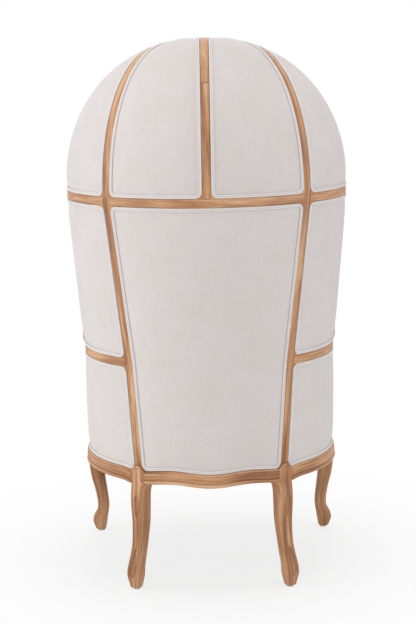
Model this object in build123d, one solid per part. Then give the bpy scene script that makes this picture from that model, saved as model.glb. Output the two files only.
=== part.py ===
from build123d import *
import math
import os

# A dome-hooded hall porter chair. Millimetres, +Z up, the sitter faces -Y, left is the sitter's left (+X).
# The barrel wall and the hood are built round an upright axis, then everything is moved so that the
# middle of the footprint lies at the origin. Depths are measured inward from the wooden outer face.

# Heights above the floor
RAIL_BOTTOM = 302.0
RAIL_HEIGHT = 36.0
ARM_HEIGHT = 630.0
BAND_HEIGHT = 1068.0
SPRING_RISE = 20.0
DOME_RISE = 405.0

# Plan radius of the wooden face behind the axis, how far it spreads from the seat to the arm and from
# the arm to the band, and the fullness of the dome's outline
SEAT_RADIUS = 349.0
ARM_SPREAD = 4.0
BAND_SPREAD = 38.0
DOME_FULLNESS = 2.12

# How far the wall and the hood reach in front of the axis
HOOD_DEPTH = 250.0
FRONT_RUN = 310.0
HOOD_STRETCH = 1.885
ARM_FLARE = 20.0

# Frame members
MEMBER_FACE = 24.0
MEMBER_DEPTH = 28.0
ARCH_FACE = 28.0
STILE_TOP_ANGLE = 43.0
STILE_FOOT_ANGLE = 34.5
RIB_FOCUS = 300.0
RIB_JOINT_ANGLE = 45.0
WING_SET_BACK = 140.0
TENON_LENGTH = 9.0
TENON_THICKNESS = 9.0
TENON_SHOULDER = 4.0

# Outside upholstery
PANEL_INSET = 3.0
PANEL_THICKNESS = 10.0
PANEL_CORNER = 18.0
CORD_WIDTH = 9.0
CORD_PROUD = 1.5
TIP_WIDTH = 10.0
SEAT_GAP = 0.3

# Inside upholstery
LINING_THICKNESS = 22.0

# Seat rails
RAIL_PROUD = 5.0
RAIL_BEAD = 3.0
RAIL_BEAD_HEIGHT = 9.0
RAIL_DEPTH = 42.0
SIDE_RAIL_ARCH = 5.0
BACK_RAIL_DIP = 4.0
FRONT_RAIL_BOW = 48.7
FRONT_RAIL_ARCH = 6.0
RAIL_TENON_LENGTH = 14.0

# Legs
LEG_BLOCK = 44.0
LEG_PROUD = 8.0
LEG_TURN = 40.0
LEG_CAP_RISE = 9.0
LEG_CAP_SPRING = 1.5
LEG_CAP_WIDTH = 38.0
LEG_CORNER = 4.0
FRONT_LEG_PROUD = 5.0
FRONT_LEG_REACH = 275.0
REAR_SWEEP = 23.0
REAR_SWEEP_TURN = 69.0
FRONT_SWEEP = 13.0
LEG_STEPS = 18
GLIDE_DIAMETER = 20.0
GLIDE_HEIGHT = 4.0
GLIDE_PIN = 4.0
GLIDE_PIN_LENGTH = 16.0

# Arms
ARM_WIDTH = 48.0
ARM_PROUD = 10.0
ARM_REACH = 302.0
ARM_SCROLL = 22.0
SUPPORT_REAR = 242.0
SUPPORT_FOOT = 50.0
SUPPORT_WAIST = 26.0
SUPPORT_HEAD = 36.0
ARM_PAD_HEIGHT = 26.0
ARM_PAD_WIDTH = 40.0
ARM_PAD_LENGTH = 140.0
ARM_PAD_ROUND = 12.0
WING_FOOT_GAP = 14.0

# Seat
WEB_WIDTH = 50.0
WEB_THICKNESS = 2.0
WEB_SPACING = 104.0
LONG_WEBS = 5
CROSS_WEBS = 4
DECK_THICKNESS = 20.0
DECK_SET_BACK = 4.0
DUST_COVER_RISE = 8.0
DUST_COVER_THICKNESS = 1.5
DUST_COVER_GAP = 0.6
BLOCK_REACH = 42.0
BLOCK_WIDTH = 120.0
FRONT_BLOCK_LEG = 104.0
FRONT_BLOCK_SINK = 30.0
BLOCK_HEIGHT = 22.0
SCREW_DIAMETER = 5.0
SCREW_HEAD = 9.0
SCREW_HEAD_HEIGHT = 3.0
SCREW_LENGTH = 60.0
SCREW_SPREAD = 44.0
LINING_SET_BACK = 2.0

# Cushion
CUSHION_THICKNESS = 112.0
CUSHION_CROWN = 22.0
CUSHION_GAP = 4.0
CUSHION_FRONT_SET_BACK = 8.0
CUSHION_CORNER = 38.0
CUSHION_DRAW_IN = 7.0
CUSHION_HEEL = 6.0
PIPING_DIAMETER = 7.0
PIPING_INSET = 9.0

# Shares of a leg's height, sweep and block side, from the block down to the foot
REAR_LEG_SHARES = [
    (1.0, 0.0, 0.95),
    (0.90, 0.15, 0.93),
    (0.79, 0.19, 0.92),
    (0.62, 0.18, 0.85),
    (0.43, 0.38, 0.76),
    (0.315, 0.62, 0.775),
    (0.20, 0.93, 0.82),
    (0.13, 0.97, 0.81),
    (0.07, 0.98, 0.71),
    (0.0, 1.0, 0.56),
]
FRONT_LEG_SHARES = [
    (1.0, 0.3, 1.0),
    (0.87, 1.0, 1.09),
    (0.70, 1.0, 1.0),
    (0.55, 0.69, 0.88),
    (0.425, 0.08, 0.76),
    (0.29, -0.35, 0.73),
    (0.21, -0.19, 0.77),
    (0.125, 0.46, 0.95),
    (0.085, 0.52, 0.92),
    (0.0, 0.35, 0.60),
]

# Shares of the cushion's crown and of its half width, from its rim to its top
CROWN_SHARES = [(0.45, 0.10), (0.78, 0.30), (0.95, 0.58), (1.0, 0.85)]

# Building values
OVERRUN = 40.0
FAR = 3000.0
SIDE_CUT = 100.0
DOME_STEPS = 12

RAIL_TOP = RAIL_BOTTOM + RAIL_HEIGHT
HALF_FACE = MEMBER_FACE / 2
BAND_TOP = BAND_HEIGHT + HALF_FACE
BAND_FOOT = BAND_HEIGHT - HALF_FACE
ARM_TOP = ARM_HEIGHT + HALF_FACE
ARM_FOOT = ARM_HEIGHT - HALF_FACE
SPRING_HEIGHT = BAND_HEIGHT + SPRING_RISE
CROWN_HEIGHT = SPRING_HEIGHT + DOME_RISE
LINING_FACE = MEMBER_DEPTH + SEAT_GAP
LINING_INSIDE = LINING_FACE + LINING_THICKNESS
DECK_FOOT = RAIL_TOP + 2 * (WEB_THICKNESS + SEAT_GAP)
DECK_TOP = DECK_FOOT + DECK_THICKNESS
ARCH_REAR = ARCH_FACE - HOOD_DEPTH
ARM_RADIUS = SEAT_RADIUS + ARM_SPREAD
BAND_RADIUS = ARM_RADIUS + BAND_SPREAD
FRONT_LEG_X = SEAT_RADIUS + RAIL_PROUD + FRONT_LEG_PROUD - LEG_BLOCK / 2
FRONT_RAIL_INSIDE = FRONT_LEG_REACH - LEG_BLOCK / 2 + SEAT_GAP
FRONT_RAIL_END = FRONT_RAIL_INSIDE + RAIL_DEPTH
FRONT_REACH = FRONT_RAIL_END + FRONT_RAIL_BOW + RAIL_BEAD
AXIS_Y = (FRONT_REACH - BAND_RADIUS) / 2


def wall_radius(z):
    """Plan radius of the wooden face behind the axis, at height z."""
    if z <= ARM_HEIGHT:
        share = (z - RAIL_BOTTOM) / (ARM_HEIGHT - RAIL_BOTTOM)
        return SEAT_RADIUS + share * (ARM_RADIUS - SEAT_RADIUS)
    share = min(1, (z - ARM_HEIGHT) / (BAND_FOOT - ARM_HEIGHT))
    return ARM_RADIUS + share * (BAND_RADIUS - ARM_RADIUS)


def hood_half_width(radius, y):
    """Half the hood's width at a place y in front of the axis."""
    return radius * math.sqrt(1 - (y / (radius * HOOD_STRETCH)) ** 2)


def plan_face(radius, z, flare=None):
    """Plan of the wall at one height: half a circle behind the axis and two sides running forward."""
    if flare is None:
        end = hood_half_width(radius, FRONT_RUN)
        half = hood_half_width(radius, FRONT_RUN / 2)
    else:
        end = radius + flare * (FRONT_RUN / HOOD_DEPTH) ** 2
        half = radius + flare * (FRONT_RUN / 2 / HOOD_DEPTH) ** 2
    diagonal = radius * math.sin(math.pi / 4)
    back_left = ThreePointArc((radius, 0, z), (diagonal, diagonal, z), (0, radius, z))
    back_right = ThreePointArc((0, radius, z), (-diagonal, diagonal, z), (-radius, 0, z))
    front = Line((-end, -FRONT_RUN, z), (end, -FRONT_RUN, z))
    if flare == 0:
        side_right = Line((-radius, 0, z), (-end, -FRONT_RUN, z))
        side_left = Line((end, -FRONT_RUN, z), (radius, 0, z))
    else:
        middle = -FRONT_RUN / 2
        side_right = ThreePointArc((-radius, 0, z), (-half, middle, z), (-end, -FRONT_RUN, z))
        side_left = ThreePointArc((end, -FRONT_RUN, z), (half, middle, z), (radius, 0, z))
    return Face(Wire([back_left, back_right, side_right, front, side_left]))


def wall_core(depth, top):
    """The space inside the wall at one depth, from the seat rail to the given top."""
    seat = plan_face(SEAT_RADIUS - depth, RAIL_BOTTOM, 0)
    arm = plan_face(ARM_RADIUS - depth, ARM_HEIGHT, ARM_FLARE)
    band = plan_face(BAND_RADIUS - depth, BAND_FOOT)
    core = loft([seat, arm], ruled=True) + loft([arm, band], ruled=True)
    if top > BAND_FOOT:
        core += extrude(band, top - BAND_FOOT, dir=(0, 0, 1))
    return core


def wall_layer(outer, inner, top=BAND_TOP):
    """A shell of the wall between two depths."""
    return wall_core(outer, top) - wall_core(inner, top)


def dome_curve(depth):
    """The dome's outline at one depth, a superellipse from the spring line to the crown."""
    radius = BAND_RADIUS - depth
    rise = DOME_RISE - depth
    points = [(radius, 0, SPRING_HEIGHT)]
    for step in range(1, DOME_STEPS):
        angle = math.pi / 2 * step / DOME_STEPS
        across = radius * math.cos(angle) ** (2 / DOME_FULLNESS)
        up = rise * math.sin(angle) ** (2 / DOME_FULLNESS)
        points.append((across, 0, SPRING_HEIGHT + up))
    points.append((0, 0, SPRING_HEIGHT + rise))
    return Spline(*points, tangents=[(0, 0, 1), (-1, 0, 0)])


def hood_layer(outer, inner, foot=BAND_TOP):
    """A shell of the hood between two depths: a round back half and a drawn-out front half."""
    rims = [BAND_RADIUS - outer, BAND_RADIUS - inner]
    crowns = [CROWN_HEIGHT - outer, CROWN_HEIGHT - inner]
    section = Face(
        Wire(
            [
                Line((rims[0], 0, foot), (rims[0], 0, SPRING_HEIGHT)),
                dome_curve(outer),
                Line((0, 0, crowns[0]), (0, 0, crowns[1])),
                dome_curve(inner),
                Line((rims[1], 0, SPRING_HEIGHT), (rims[1], 0, foot)),
                Line((rims[1], 0, foot), (rims[0], 0, foot)),
            ]
        )
    )
    back = revolve(section, Axis.Z, 180)
    front = scale(mirror(back, Plane.XZ), by=(1, HOOD_STRETCH, 1))
    return back + front


def fan_plane(angle):
    """An upright plane whose x runs square to a ray at this angle from the rear, and whose y is up."""
    turn = math.radians(angle)
    across = (math.cos(turn), -math.sin(turn), 0)
    inward = (-math.sin(turn), -math.cos(turn), 0)
    return Plane(origin=(0, 0, 0), x_dir=across, z_dir=inward)


def fan_place(x, y, angle):
    """The x in a fan plane of a point given in plan."""
    turn = math.radians(angle)
    return x * math.cos(turn) - y * math.sin(turn)


SIDE_PLANE = Plane(origin=(0, 0, 0), x_dir=(0, 1, 0), z_dir=(1, 0, 0))
PLAN_PLANE = Plane.XY


def rounded(face, places, radius):
    """A flat face with the corners at the given places rounded."""
    corners = []
    for corner in face.vertices():
        for place in places:
            if math.hypot(corner.X - place[0], corner.Y - place[1]) < SEAT_GAP:
                corners.append(corner)
    return fillet(corners, radius)


def prism(plane, points, low, high, corner_count=0, radius=0):
    """A prism on a polygon, from low to high along the plane's normal; the first corners are rounded."""
    face = make_face(Polyline(*points, close=True))
    if corner_count:
        face = rounded(face, points[:corner_count], radius)
    return extrude(plane.offset(low) * face, high - low, dir=plane.z_dir)


def both_sides(shape):
    return mirror(shape, Plane.YZ)


# The rear stile runs up the wall in a plane that leans, which is a straight line in its fan plane.
STILE_ANGLE = (STILE_TOP_ANGLE + STILE_FOOT_ANGLE) / 2
STILE_PLANE = fan_plane(STILE_ANGLE)


def ray_point(radius, angle):
    turn = math.radians(angle)
    return radius * math.sin(turn), radius * math.cos(turn)


STILE_TOP_POINT = ray_point(BAND_RADIUS, STILE_TOP_ANGLE)
STILE_FOOT_POINT = ray_point(wall_radius(RAIL_TOP), STILE_FOOT_ANGLE)
STILE_TOP_PLACE = fan_place(*STILE_TOP_POINT, STILE_ANGLE)
STILE_FOOT_PLACE = fan_place(*STILE_FOOT_POINT, STILE_ANGLE)
STILE_LEAN = (STILE_TOP_PLACE - STILE_FOOT_PLACE) / (BAND_HEIGHT - RAIL_TOP)


def stile_line(z, offset):
    """The place of a line beside the stile's centre line, at height z, in its fan plane."""
    return STILE_FOOT_PLACE + STILE_LEAN * (z - RAIL_TOP) + offset * math.hypot(1, STILE_LEAN)


def beside_stile(low, high, offset, radius=0):
    """The space to one side of the stile: towards the arm for a positive offset, or the back."""
    side = math.copysign(FAR, offset)
    points = [
        (stile_line(low, offset), low),
        (stile_line(high, offset), high),
        (side, high),
        (side, low),
    ]
    return prism(STILE_PLANE, points, -FAR, FAR, 2 if radius else 0, radius)


def in_stile(low, high, left, right):
    """A strip that follows the stile, between two offsets from its centre line."""
    points = [
        (stile_line(low, left), low),
        (stile_line(low, right), low),
        (stile_line(high, right), high),
        (stile_line(high, left), high),
    ]
    return prism(STILE_PLANE, points, -FAR, 0)


# The hood's side ribs stand over the stiles, in upright planes that meet in front of the hood.
RIB_ANGLE = math.degrees(math.atan2(STILE_TOP_POINT[0], STILE_TOP_POINT[1] + RIB_FOCUS))
RIB_PLANE = fan_plane(RIB_ANGLE)
RIB_PLACE = fan_place(0, -RIB_FOCUS, RIB_ANGLE)
RIB_SLOPE = math.tan(math.radians(RIB_ANGLE))
RIB_SPREAD = 1 / math.cos(math.radians(RIB_ANGLE))


# The wing's front edge is one arc from the hood's front down and back to the arm.
WING_DROP = BAND_TOP - ARM_TOP
WING_RADIUS = (WING_DROP**2 + WING_SET_BACK**2) / (2 * WING_SET_BACK)
WING_CENTRE = WING_RADIUS - HOOD_DEPTH


def wing_y(z, offset=0):
    """The place of a line behind the wing's front edge, at height z."""
    return WING_CENTRE - math.sqrt((WING_RADIUS - offset) ** 2 - (z - BAND_TOP) ** 2)


def wing_arc(low, high, offset):
    middle = (low + high) / 2
    return ThreePointArc(
        (wing_y(low, offset), low),
        (wing_y(middle, offset), middle),
        (wing_y(high, offset), high),
    )


ARM_REAR = wing_y(ARM_TOP, ARCH_FACE)

nodes = {}


def add_pair(name, shape):
    """A sub-part of the left side and its mirror image on the right."""
    nodes[name + "_left"] = shape
    nodes[name + "_right"] = both_sides(shape)


def front_cut(front, low=-FAR, high=FAR):
    """The space behind a place y, on the left."""
    points = [(front, low), (FAR, low), (FAR, high), (front, high)]
    return prism(SIDE_PLANE, points, SIDE_CUT, FAR)


def largest(shape):
    """The one solid of a cut."""
    return sorted(shape.solids(), key=lambda solid: solid.volume)[-1]


# Wall frame
wood_wall = wall_layer(0, MEMBER_DEPTH)
tenon_outer = (MEMBER_DEPTH - TENON_THICKNESS) / 2
tenon_wall = wall_layer(tenon_outer, tenon_outer + TENON_THICKNESS)


def level_member(low, high, front):
    """A level member of the side wall from the stile forward, with a tenon into the stile."""
    body = wood_wall & beside_stile(low, high, HALF_FACE) & front_cut(front)
    tongue_low = low + TENON_SHOULDER
    tongue_high = high - TENON_SHOULDER
    tenon = tenon_wall & in_stile(tongue_low, tongue_high, HALF_FACE - TENON_LENGTH, HALF_FACE)
    return largest(body), largest(tenon)


stile = largest(wood_wall & in_stile(RAIL_TOP, BAND_TOP, -HALF_FACE, HALF_FACE))

band_side, band_side_tenon = level_member(BAND_FOOT, BAND_TOP, ARCH_REAR)
arm_rail, arm_rail_tenon = level_member(ARM_FOOT, ARM_TOP, ARM_REAR)

back_strip = beside_stile(BAND_FOOT, BAND_TOP, -HALF_FACE)
band_back = largest(wood_wall & back_strip & both_sides(back_strip))
back_tongue_low = BAND_FOOT + TENON_SHOULDER
back_tongue_high = BAND_TOP - TENON_SHOULDER
band_back_tenon = largest(
    tenon_wall & in_stile(back_tongue_low, back_tongue_high, -HALF_FACE, TENON_LENGTH - HALF_FACE)
)

stile = stile - band_side_tenon - arm_rail_tenon - band_back_tenon
add_pair("stile_rear", stile)
add_pair("band_side", band_side + band_side_tenon)
add_pair("arm_rail", arm_rail + arm_rail_tenon)
nodes["band_back"] = band_back + band_back_tenon + both_sides(band_back_tenon)

# Wing stiles, from the arm up to the hood's front arch
wing_outline = make_face(
    [
        wing_arc(ARM_TOP, BAND_TOP, 0),
        Line((wing_y(BAND_TOP), BAND_TOP), (wing_y(BAND_TOP, ARCH_FACE), BAND_TOP)),
        wing_arc(ARM_TOP, BAND_TOP, ARCH_FACE),
        Line((wing_y(ARM_TOP, ARCH_FACE), ARM_TOP), (wing_y(ARM_TOP), ARM_TOP)),
    ]
)
wing_strip = extrude(SIDE_PLANE.offset(SIDE_CUT) * wing_outline, FAR, dir=(1, 0, 0))
add_pair("wing_stile", largest((wood_wall & wing_strip) - band_side))

# Hood frame
wood_hood = hood_layer(0, MEMBER_DEPTH)
behind_arch = [(-FAR, ARCH_REAR), (FAR, ARCH_REAR), (FAR, FAR), (-FAR, FAR)]
behind_arch = prism(PLAN_PLANE, behind_arch, BAND_TOP, FAR)
arch_slab = [(0, -HOOD_DEPTH), (FAR, -HOOD_DEPTH), (FAR, ARCH_REAR), (0, ARCH_REAR)]
add_pair("hood_arch", largest(wood_hood & prism(PLAN_PLANE, arch_slab, BAND_TOP, FAR)))

rib_low = [(RIB_PLACE - HALF_FACE, BAND_TOP), (RIB_PLACE + HALF_FACE, BAND_TOP)]
rib_high = [(RIB_PLACE + HALF_FACE, FAR), (RIB_PLACE - HALF_FACE, FAR)]
rib = wood_hood & prism(RIB_PLANE, rib_low + rib_high, -FAR, FAR) & behind_arch
add_pair("rib", largest(rib))

centre_low = [(-HALF_FACE, BAND_TOP), (HALF_FACE, BAND_TOP)]
centre_high = [(HALF_FACE, FAR), (-HALF_FACE, FAR)]
centre_rib = wood_hood & prism(fan_plane(0), centre_low + centre_high, -FAR, FAR) & behind_arch
joint_turn = math.radians(RIB_JOINT_ANGLE)
joint_plane = Plane(
    origin=(0, 0, SPRING_HEIGHT),
    x_dir=(1, 0, 0),
    z_dir=(0, math.sin(joint_turn), -math.cos(joint_turn)),
)
below_joint = extrude(joint_plane * Rectangle(FAR, FAR), FAR, dir=joint_plane.z_dir)
nodes["rib_centre_lower"] = largest(centre_rib & below_joint)
nodes["rib_centre_upper"] = largest(centre_rib - below_joint)


# Outside panels and the double cord round each
panel_wall = wall_layer(PANEL_INSET, PANEL_INSET + PANEL_THICKNESS, BAND_FOOT)
cord_wall = wall_layer(-CORD_PROUD, PANEL_INSET - SEAT_GAP, BAND_FOOT)
panel_hood = hood_layer(PANEL_INSET, PANEL_INSET + PANEL_THICKNESS)
cord_hood = hood_layer(-CORD_PROUD, PANEL_INSET - SEAT_GAP)


def back_field(inset):
    low = RAIL_TOP + inset
    high = BAND_FOOT - inset
    side = beside_stile(low, high, -HALF_FACE - inset, PANEL_CORNER - inset)
    behind = prism(SIDE_PLANE, [(0, low), (FAR, low), (FAR, high), (0, high)], -FAR, FAR)
    return side & both_sides(side) & behind


def side_lower_field(inset):
    low = RAIL_TOP + inset
    high = ARM_FOOT - inset
    radius = PANEL_CORNER - inset
    front = inset - SUPPORT_REAR
    points = [(front, low), (front, high), (FAR, high), (FAR, low)]
    forward = prism(SIDE_PLANE, points, SIDE_CUT, FAR, 2, radius)
    return beside_stile(low, high, HALF_FACE + inset, radius) & forward


def side_upper_field(inset):
    low = ARM_TOP + inset
    high = BAND_FOOT - inset
    radius = PANEL_CORNER - inset
    offset = ARCH_FACE + inset
    corners = [(wing_y(low, offset), low), (wing_y(high, offset), high)]
    face = make_face(
        [
            wing_arc(low, high, offset),
            Line(corners[1], (FAR, high)),
            Line((FAR, high), (FAR, low)),
            Line((FAR, low), corners[0]),
        ]
    )
    face = rounded(face, corners, radius)
    forward = extrude(SIDE_PLANE.offset(SIDE_CUT) * face, FAR, dir=(1, 0, 0))
    return beside_stile(low, high, HALF_FACE + inset, radius) & forward


def hood_rear_field(inset):
    """Between the centre rib and the left rib, from the band to a narrow tip at the front arch."""
    low = BAND_TOP + inset
    radius = PANEL_CORNER - inset
    edge = HALF_FACE + inset
    tip = (TIP_WIDTH + edge * (1 + RIB_SPREAD)) / RIB_SLOPE - RIB_FOCUS
    tip = max(tip, ARCH_REAR + inset)
    tip_prism = prism(PLAN_PLANE, [(0, tip), (FAR, tip), (FAR, FAR), (0, FAR)], 0, FAR)
    centre = [(edge, low), (FAR, low), (FAR, FAR), (edge, FAR)]
    centre_prism = prism(fan_plane(0), centre, -FAR, FAR, 1, radius)
    rib_edge = RIB_PLACE - edge
    beside_rib = [(rib_edge, low), (rib_edge, FAR), (-FAR, FAR), (-FAR, low)]
    rib_prism = prism(RIB_PLANE, beside_rib, -FAR, FAR, 1, radius)
    return centre_prism & rib_prism & tip_prism


def hood_side_field(inset):
    """Between the left rib and the front arch, from the band up."""
    low = BAND_TOP + inset
    radius = PANEL_CORNER - inset
    edge = HALF_FACE + inset
    front = ARCH_REAR + inset
    side = [(front, low), (FAR, low), (FAR, FAR), (front, FAR)]
    side_prism = prism(SIDE_PLANE, side, 0, FAR, 1, radius)
    rib_edge = RIB_PLACE + edge
    beside_rib = [(rib_edge, low), (FAR, low), (FAR, FAR), (rib_edge, FAR)]
    rib_prism = prism(RIB_PLANE, beside_rib, -FAR, FAR, 1, radius)
    return side_prism & rib_prism


def upholster(field, panel_layer, cord_layer):
    """The panel in one field of the frame, and the cord round its edge."""
    outer = field(SEAT_GAP)
    inner = field(SEAT_GAP + CORD_WIDTH)
    panel = largest(panel_layer & outer)
    cord = largest((cord_layer & outer) - inner)
    return panel, cord


nodes["panel_back"], nodes["cord_back"] = upholster(back_field, panel_wall, cord_wall)
fields = [
    ("side_lower", side_lower_field, panel_wall, cord_wall),
    ("side_upper", side_upper_field, panel_wall, cord_wall),
    ("hood_rear", hood_rear_field, panel_hood, cord_hood),
    ("hood_side", hood_side_field, panel_hood, cord_hood),
]
for place, field, panel_layer, cord_layer in fields:
    panel, cord = upholster(field, panel_layer, cord_layer)
    add_pair("panel_" + place, panel)
    add_pair("cord_" + place, cord)


# Legs
LEG_PLANE = fan_plane(LEG_TURN)
REAR_LEG_POINT = ray_point(SEAT_RADIUS + LEG_PROUD - LEG_BLOCK / 2, STILE_FOOT_ANGLE)
REAR_LEG_PLACE = fan_place(*REAR_LEG_POINT, LEG_TURN)
REAR_LEG_RADIUS = math.sqrt(math.hypot(*REAR_LEG_POINT) ** 2 - REAR_LEG_PLACE**2)
LEG_NEAR = REAR_LEG_PLACE - LEG_BLOCK / 2
LEG_FAR = REAR_LEG_PLACE + LEG_BLOCK / 2
FRONT_BLOCK_REAR = LEG_BLOCK / 2 - FRONT_LEG_REACH
FRONT_RAIL_X = FRONT_LEG_X - LEG_BLOCK / 2


def between_shares(table, height):
    """Sweep and girth shares at a height share, as a smooth curve through the table's rows."""
    last = len(table) - 1
    row = 0
    while row < last - 1 and height < table[row + 1][0]:
        row += 1
    start, end = table[row], table[row + 1]
    before, after = table[max(row - 1, 0)], table[min(row + 2, last)]
    run = end[0] - start[0]
    t = (height - start[0]) / run
    values = []
    for column in (1, 2):
        slope_in = (end[column] - before[column]) / (end[0] - before[0]) * run
        slope_out = (after[column] - start[column]) / (after[0] - start[0]) * run
        values.append(
            (2 * t**3 - 3 * t**2 + 1) * start[column]
            + (t**3 - 2 * t**2 + t) * slope_in
            + (3 * t**2 - 2 * t**3) * end[column]
            + (t**3 - t**2) * slope_out
        )
    return values


def leg_shaft(table, point, direction, sweep, turn):
    """The curved leg below its block: rounded squares that follow the table down to the glide."""
    sections = []
    for step in range(LEG_STEPS + 1):
        share = 1 - step / LEG_STEPS
        out, girth = between_shares(table, share)
        side = girth * LEG_BLOCK
        z = GLIDE_HEIGHT + share * (RAIL_BOTTOM - GLIDE_HEIGHT)
        x = point[0] + direction[0] * out * sweep
        y = point[1] + direction[1] * out * sweep
        sections.append(Pos(x, y, z) * Rot(0, 0, turn) * RectangleRounded(side, side, LEG_CORNER))
    return loft(sections, ruled=True), (x, y)


def glide(place):
    """A disc under the foot, with a pin that is driven up into the leg."""
    disc = Pos(*place, GLIDE_HEIGHT / 2) * Cylinder(GLIDE_DIAMETER / 2, GLIDE_HEIGHT)
    pin_middle = GLIDE_HEIGHT + GLIDE_PIN_LENGTH / 2
    return disc + Pos(*place, pin_middle) * Cylinder(GLIDE_PIN / 2, GLIDE_PIN_LENGTH)


rear_out = ray_point(1, REAR_SWEEP_TURN)
rear_leg, rear_foot = leg_shaft(REAR_LEG_SHARES, REAR_LEG_POINT, rear_out, REAR_SWEEP, -LEG_TURN)
block_corners = [
    (LEG_NEAR, RAIL_BOTTOM),
    (LEG_FAR, RAIL_BOTTOM),
    (LEG_FAR, RAIL_TOP),
    (LEG_NEAR, RAIL_TOP),
]
block_outside = -REAR_LEG_RADIUS - LEG_BLOCK / 2
rear_leg += prism(LEG_PLANE, block_corners, block_outside, block_outside + LEG_BLOCK)

cap_left = REAR_LEG_PLACE - LEG_CAP_WIDTH / 2
cap_right = REAR_LEG_PLACE + LEG_CAP_WIDTH / 2
cap_spring = RAIL_TOP + LEG_CAP_SPRING
cap_face = make_face(
    [
        Line((cap_left, RAIL_TOP), (cap_right, RAIL_TOP)),
        Line((cap_right, RAIL_TOP), (cap_right, cap_spring)),
        ThreePointArc(
            (cap_right, cap_spring),
            (REAR_LEG_PLACE, RAIL_TOP + LEG_CAP_RISE),
            (cap_left, cap_spring),
        ),
        Line((cap_left, cap_spring), (cap_left, RAIL_TOP)),
    ]
)
cap = extrude(LEG_PLANE.offset(block_outside) * cap_face, LEG_BLOCK / 2, dir=LEG_PLANE.z_dir)
cap -= wall_core(-CORD_PROUD - SEAT_GAP, BAND_FOOT)
rear_leg += cap

front_point = (FRONT_LEG_X, -FRONT_LEG_REACH)
front_leg, front_foot = leg_shaft(FRONT_LEG_SHARES, front_point, (1, -1), FRONT_SWEEP, 0)
block_middle = RAIL_BOTTOM + RAIL_HEIGHT / 2
front_leg += Pos(*front_point, block_middle) * Box(LEG_BLOCK, LEG_BLOCK, RAIL_HEIGHT)


# Seat rails
def rail_ring(outer, inner):
    low = RAIL_BOTTOM - BACK_RAIL_DIP
    face = plan_face(SEAT_RADIUS - outer, low, 0) - plan_face(SEAT_RADIUS - inner, low, 0)
    return extrude(face, RAIL_TOP - low, dir=(0, 0, 1))


def arched_space(plane, start, end, rise, height, top_rise, low, high):
    """The space above a lower edge that is arched between two places, seen along a plane's normal."""
    middle = (start + end) / 2
    top = RAIL_BOTTOM + height
    face = make_face(
        [
            Line((-FAR, RAIL_BOTTOM), (start, RAIL_BOTTOM)),
            ThreePointArc((start, RAIL_BOTTOM), (middle, RAIL_BOTTOM + rise), (end, RAIL_BOTTOM)),
            Line((end, RAIL_BOTTOM), (FAR, RAIL_BOTTOM)),
            Line((FAR, RAIL_BOTTOM), (FAR, top)),
            Line((FAR, top), (end, top)),
            Line((end, top), (start, top))
            if top_rise == 0
            else ThreePointArc((end, top), (middle, top + top_rise), (start, top)),
            Line((start, top), (-FAR, top)),
            Line((-FAR, top), (-FAR, RAIL_BOTTOM)),
        ]
    )
    return extrude(plane.offset(low) * face, high - low, dir=plane.z_dir)


RAIL_INSIDE = RAIL_DEPTH - RAIL_PROUD
rail_body = rail_ring(-RAIL_PROUD, RAIL_INSIDE)
rail_bead = rail_ring(-RAIL_PROUD - RAIL_BEAD, -RAIL_PROUD)
rail_tongue_outer = (RAIL_DEPTH - TENON_THICKNESS) / 2 - RAIL_PROUD
rail_tongue = rail_ring(rail_tongue_outer, rail_tongue_outer + TENON_THICKNESS)
tongue_low = RAIL_BOTTOM + TENON_SHOULDER
tongue_high = RAIL_TOP - TENON_SHOULDER


def arched_rail(body, bead, plane, start, end, rise, low, high):
    """A rail whose lower edge is arched, with a bead that follows it."""
    space = arched_space(plane, start, end, rise, RAIL_HEIGHT, 0, low, high)
    strip = arched_space(plane, start, end, rise, RAIL_BEAD_HEIGHT, rise, low, high)
    return (body & space) + (bead & strip)


def tongue_in_leg(near, far):
    points = [(near, tongue_low), (far, tongue_low), (far, tongue_high), (near, tongue_high)]
    return largest(rail_tongue & prism(LEG_PLANE, points, -FAR, 0))


low_rail = RAIL_BOTTOM - BACK_RAIL_DIP
near_side = prism(
    LEG_PLANE,
    [(LEG_NEAR, low_rail), (LEG_NEAR, RAIL_TOP), (-FAR, RAIL_TOP), (-FAR, low_rail)],
    -FAR,
    FAR,
)
far_side = prism(
    LEG_PLANE,
    [(LEG_FAR, low_rail), (FAR, low_rail), (FAR, RAIL_TOP), (LEG_FAR, RAIL_TOP)],
    -FAR,
    FAR,
)
behind_axis = prism(SIDE_PLANE, [(0, 0), (FAR, 0), (FAR, FAR), (0, FAR)], -FAR, FAR)
back_cut = near_side & both_sides(near_side) & behind_axis
rail_back = arched_rail(
    rail_body & back_cut,
    rail_bead & back_cut,
    fan_plane(0),
    -REAR_LEG_POINT[0],
    REAR_LEG_POINT[0],
    -BACK_RAIL_DIP,
    -FAR,
    FAR,
)
back_tongue = tongue_in_leg(LEG_NEAR, LEG_NEAR + RAIL_TENON_LENGTH)
rail_back += back_tongue + both_sides(back_tongue)

side_cut = far_side & front_cut(FRONT_BLOCK_REAR)
rail_side = arched_rail(
    rail_body & side_cut,
    rail_bead & side_cut,
    SIDE_PLANE,
    FRONT_BLOCK_REAR,
    REAR_LEG_POINT[1],
    SIDE_RAIL_ARCH,
    0,
    FAR,
)
side_tongue = tongue_in_leg(LEG_FAR - RAIL_TENON_LENGTH, LEG_FAR)
tongue_front = FRONT_BLOCK_REAR - RAIL_TENON_LENGTH
front_points = [
    (tongue_front, tongue_low),
    (FRONT_BLOCK_REAR, tongue_low),
    (FRONT_BLOCK_REAR, tongue_high),
    (tongue_front, tongue_high),
]
side_front_tongue = largest(rail_tongue & prism(SIDE_PLANE, front_points, SIDE_CUT, FAR))
rail_side = largest(rail_side) + side_tongue + side_front_tongue


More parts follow.
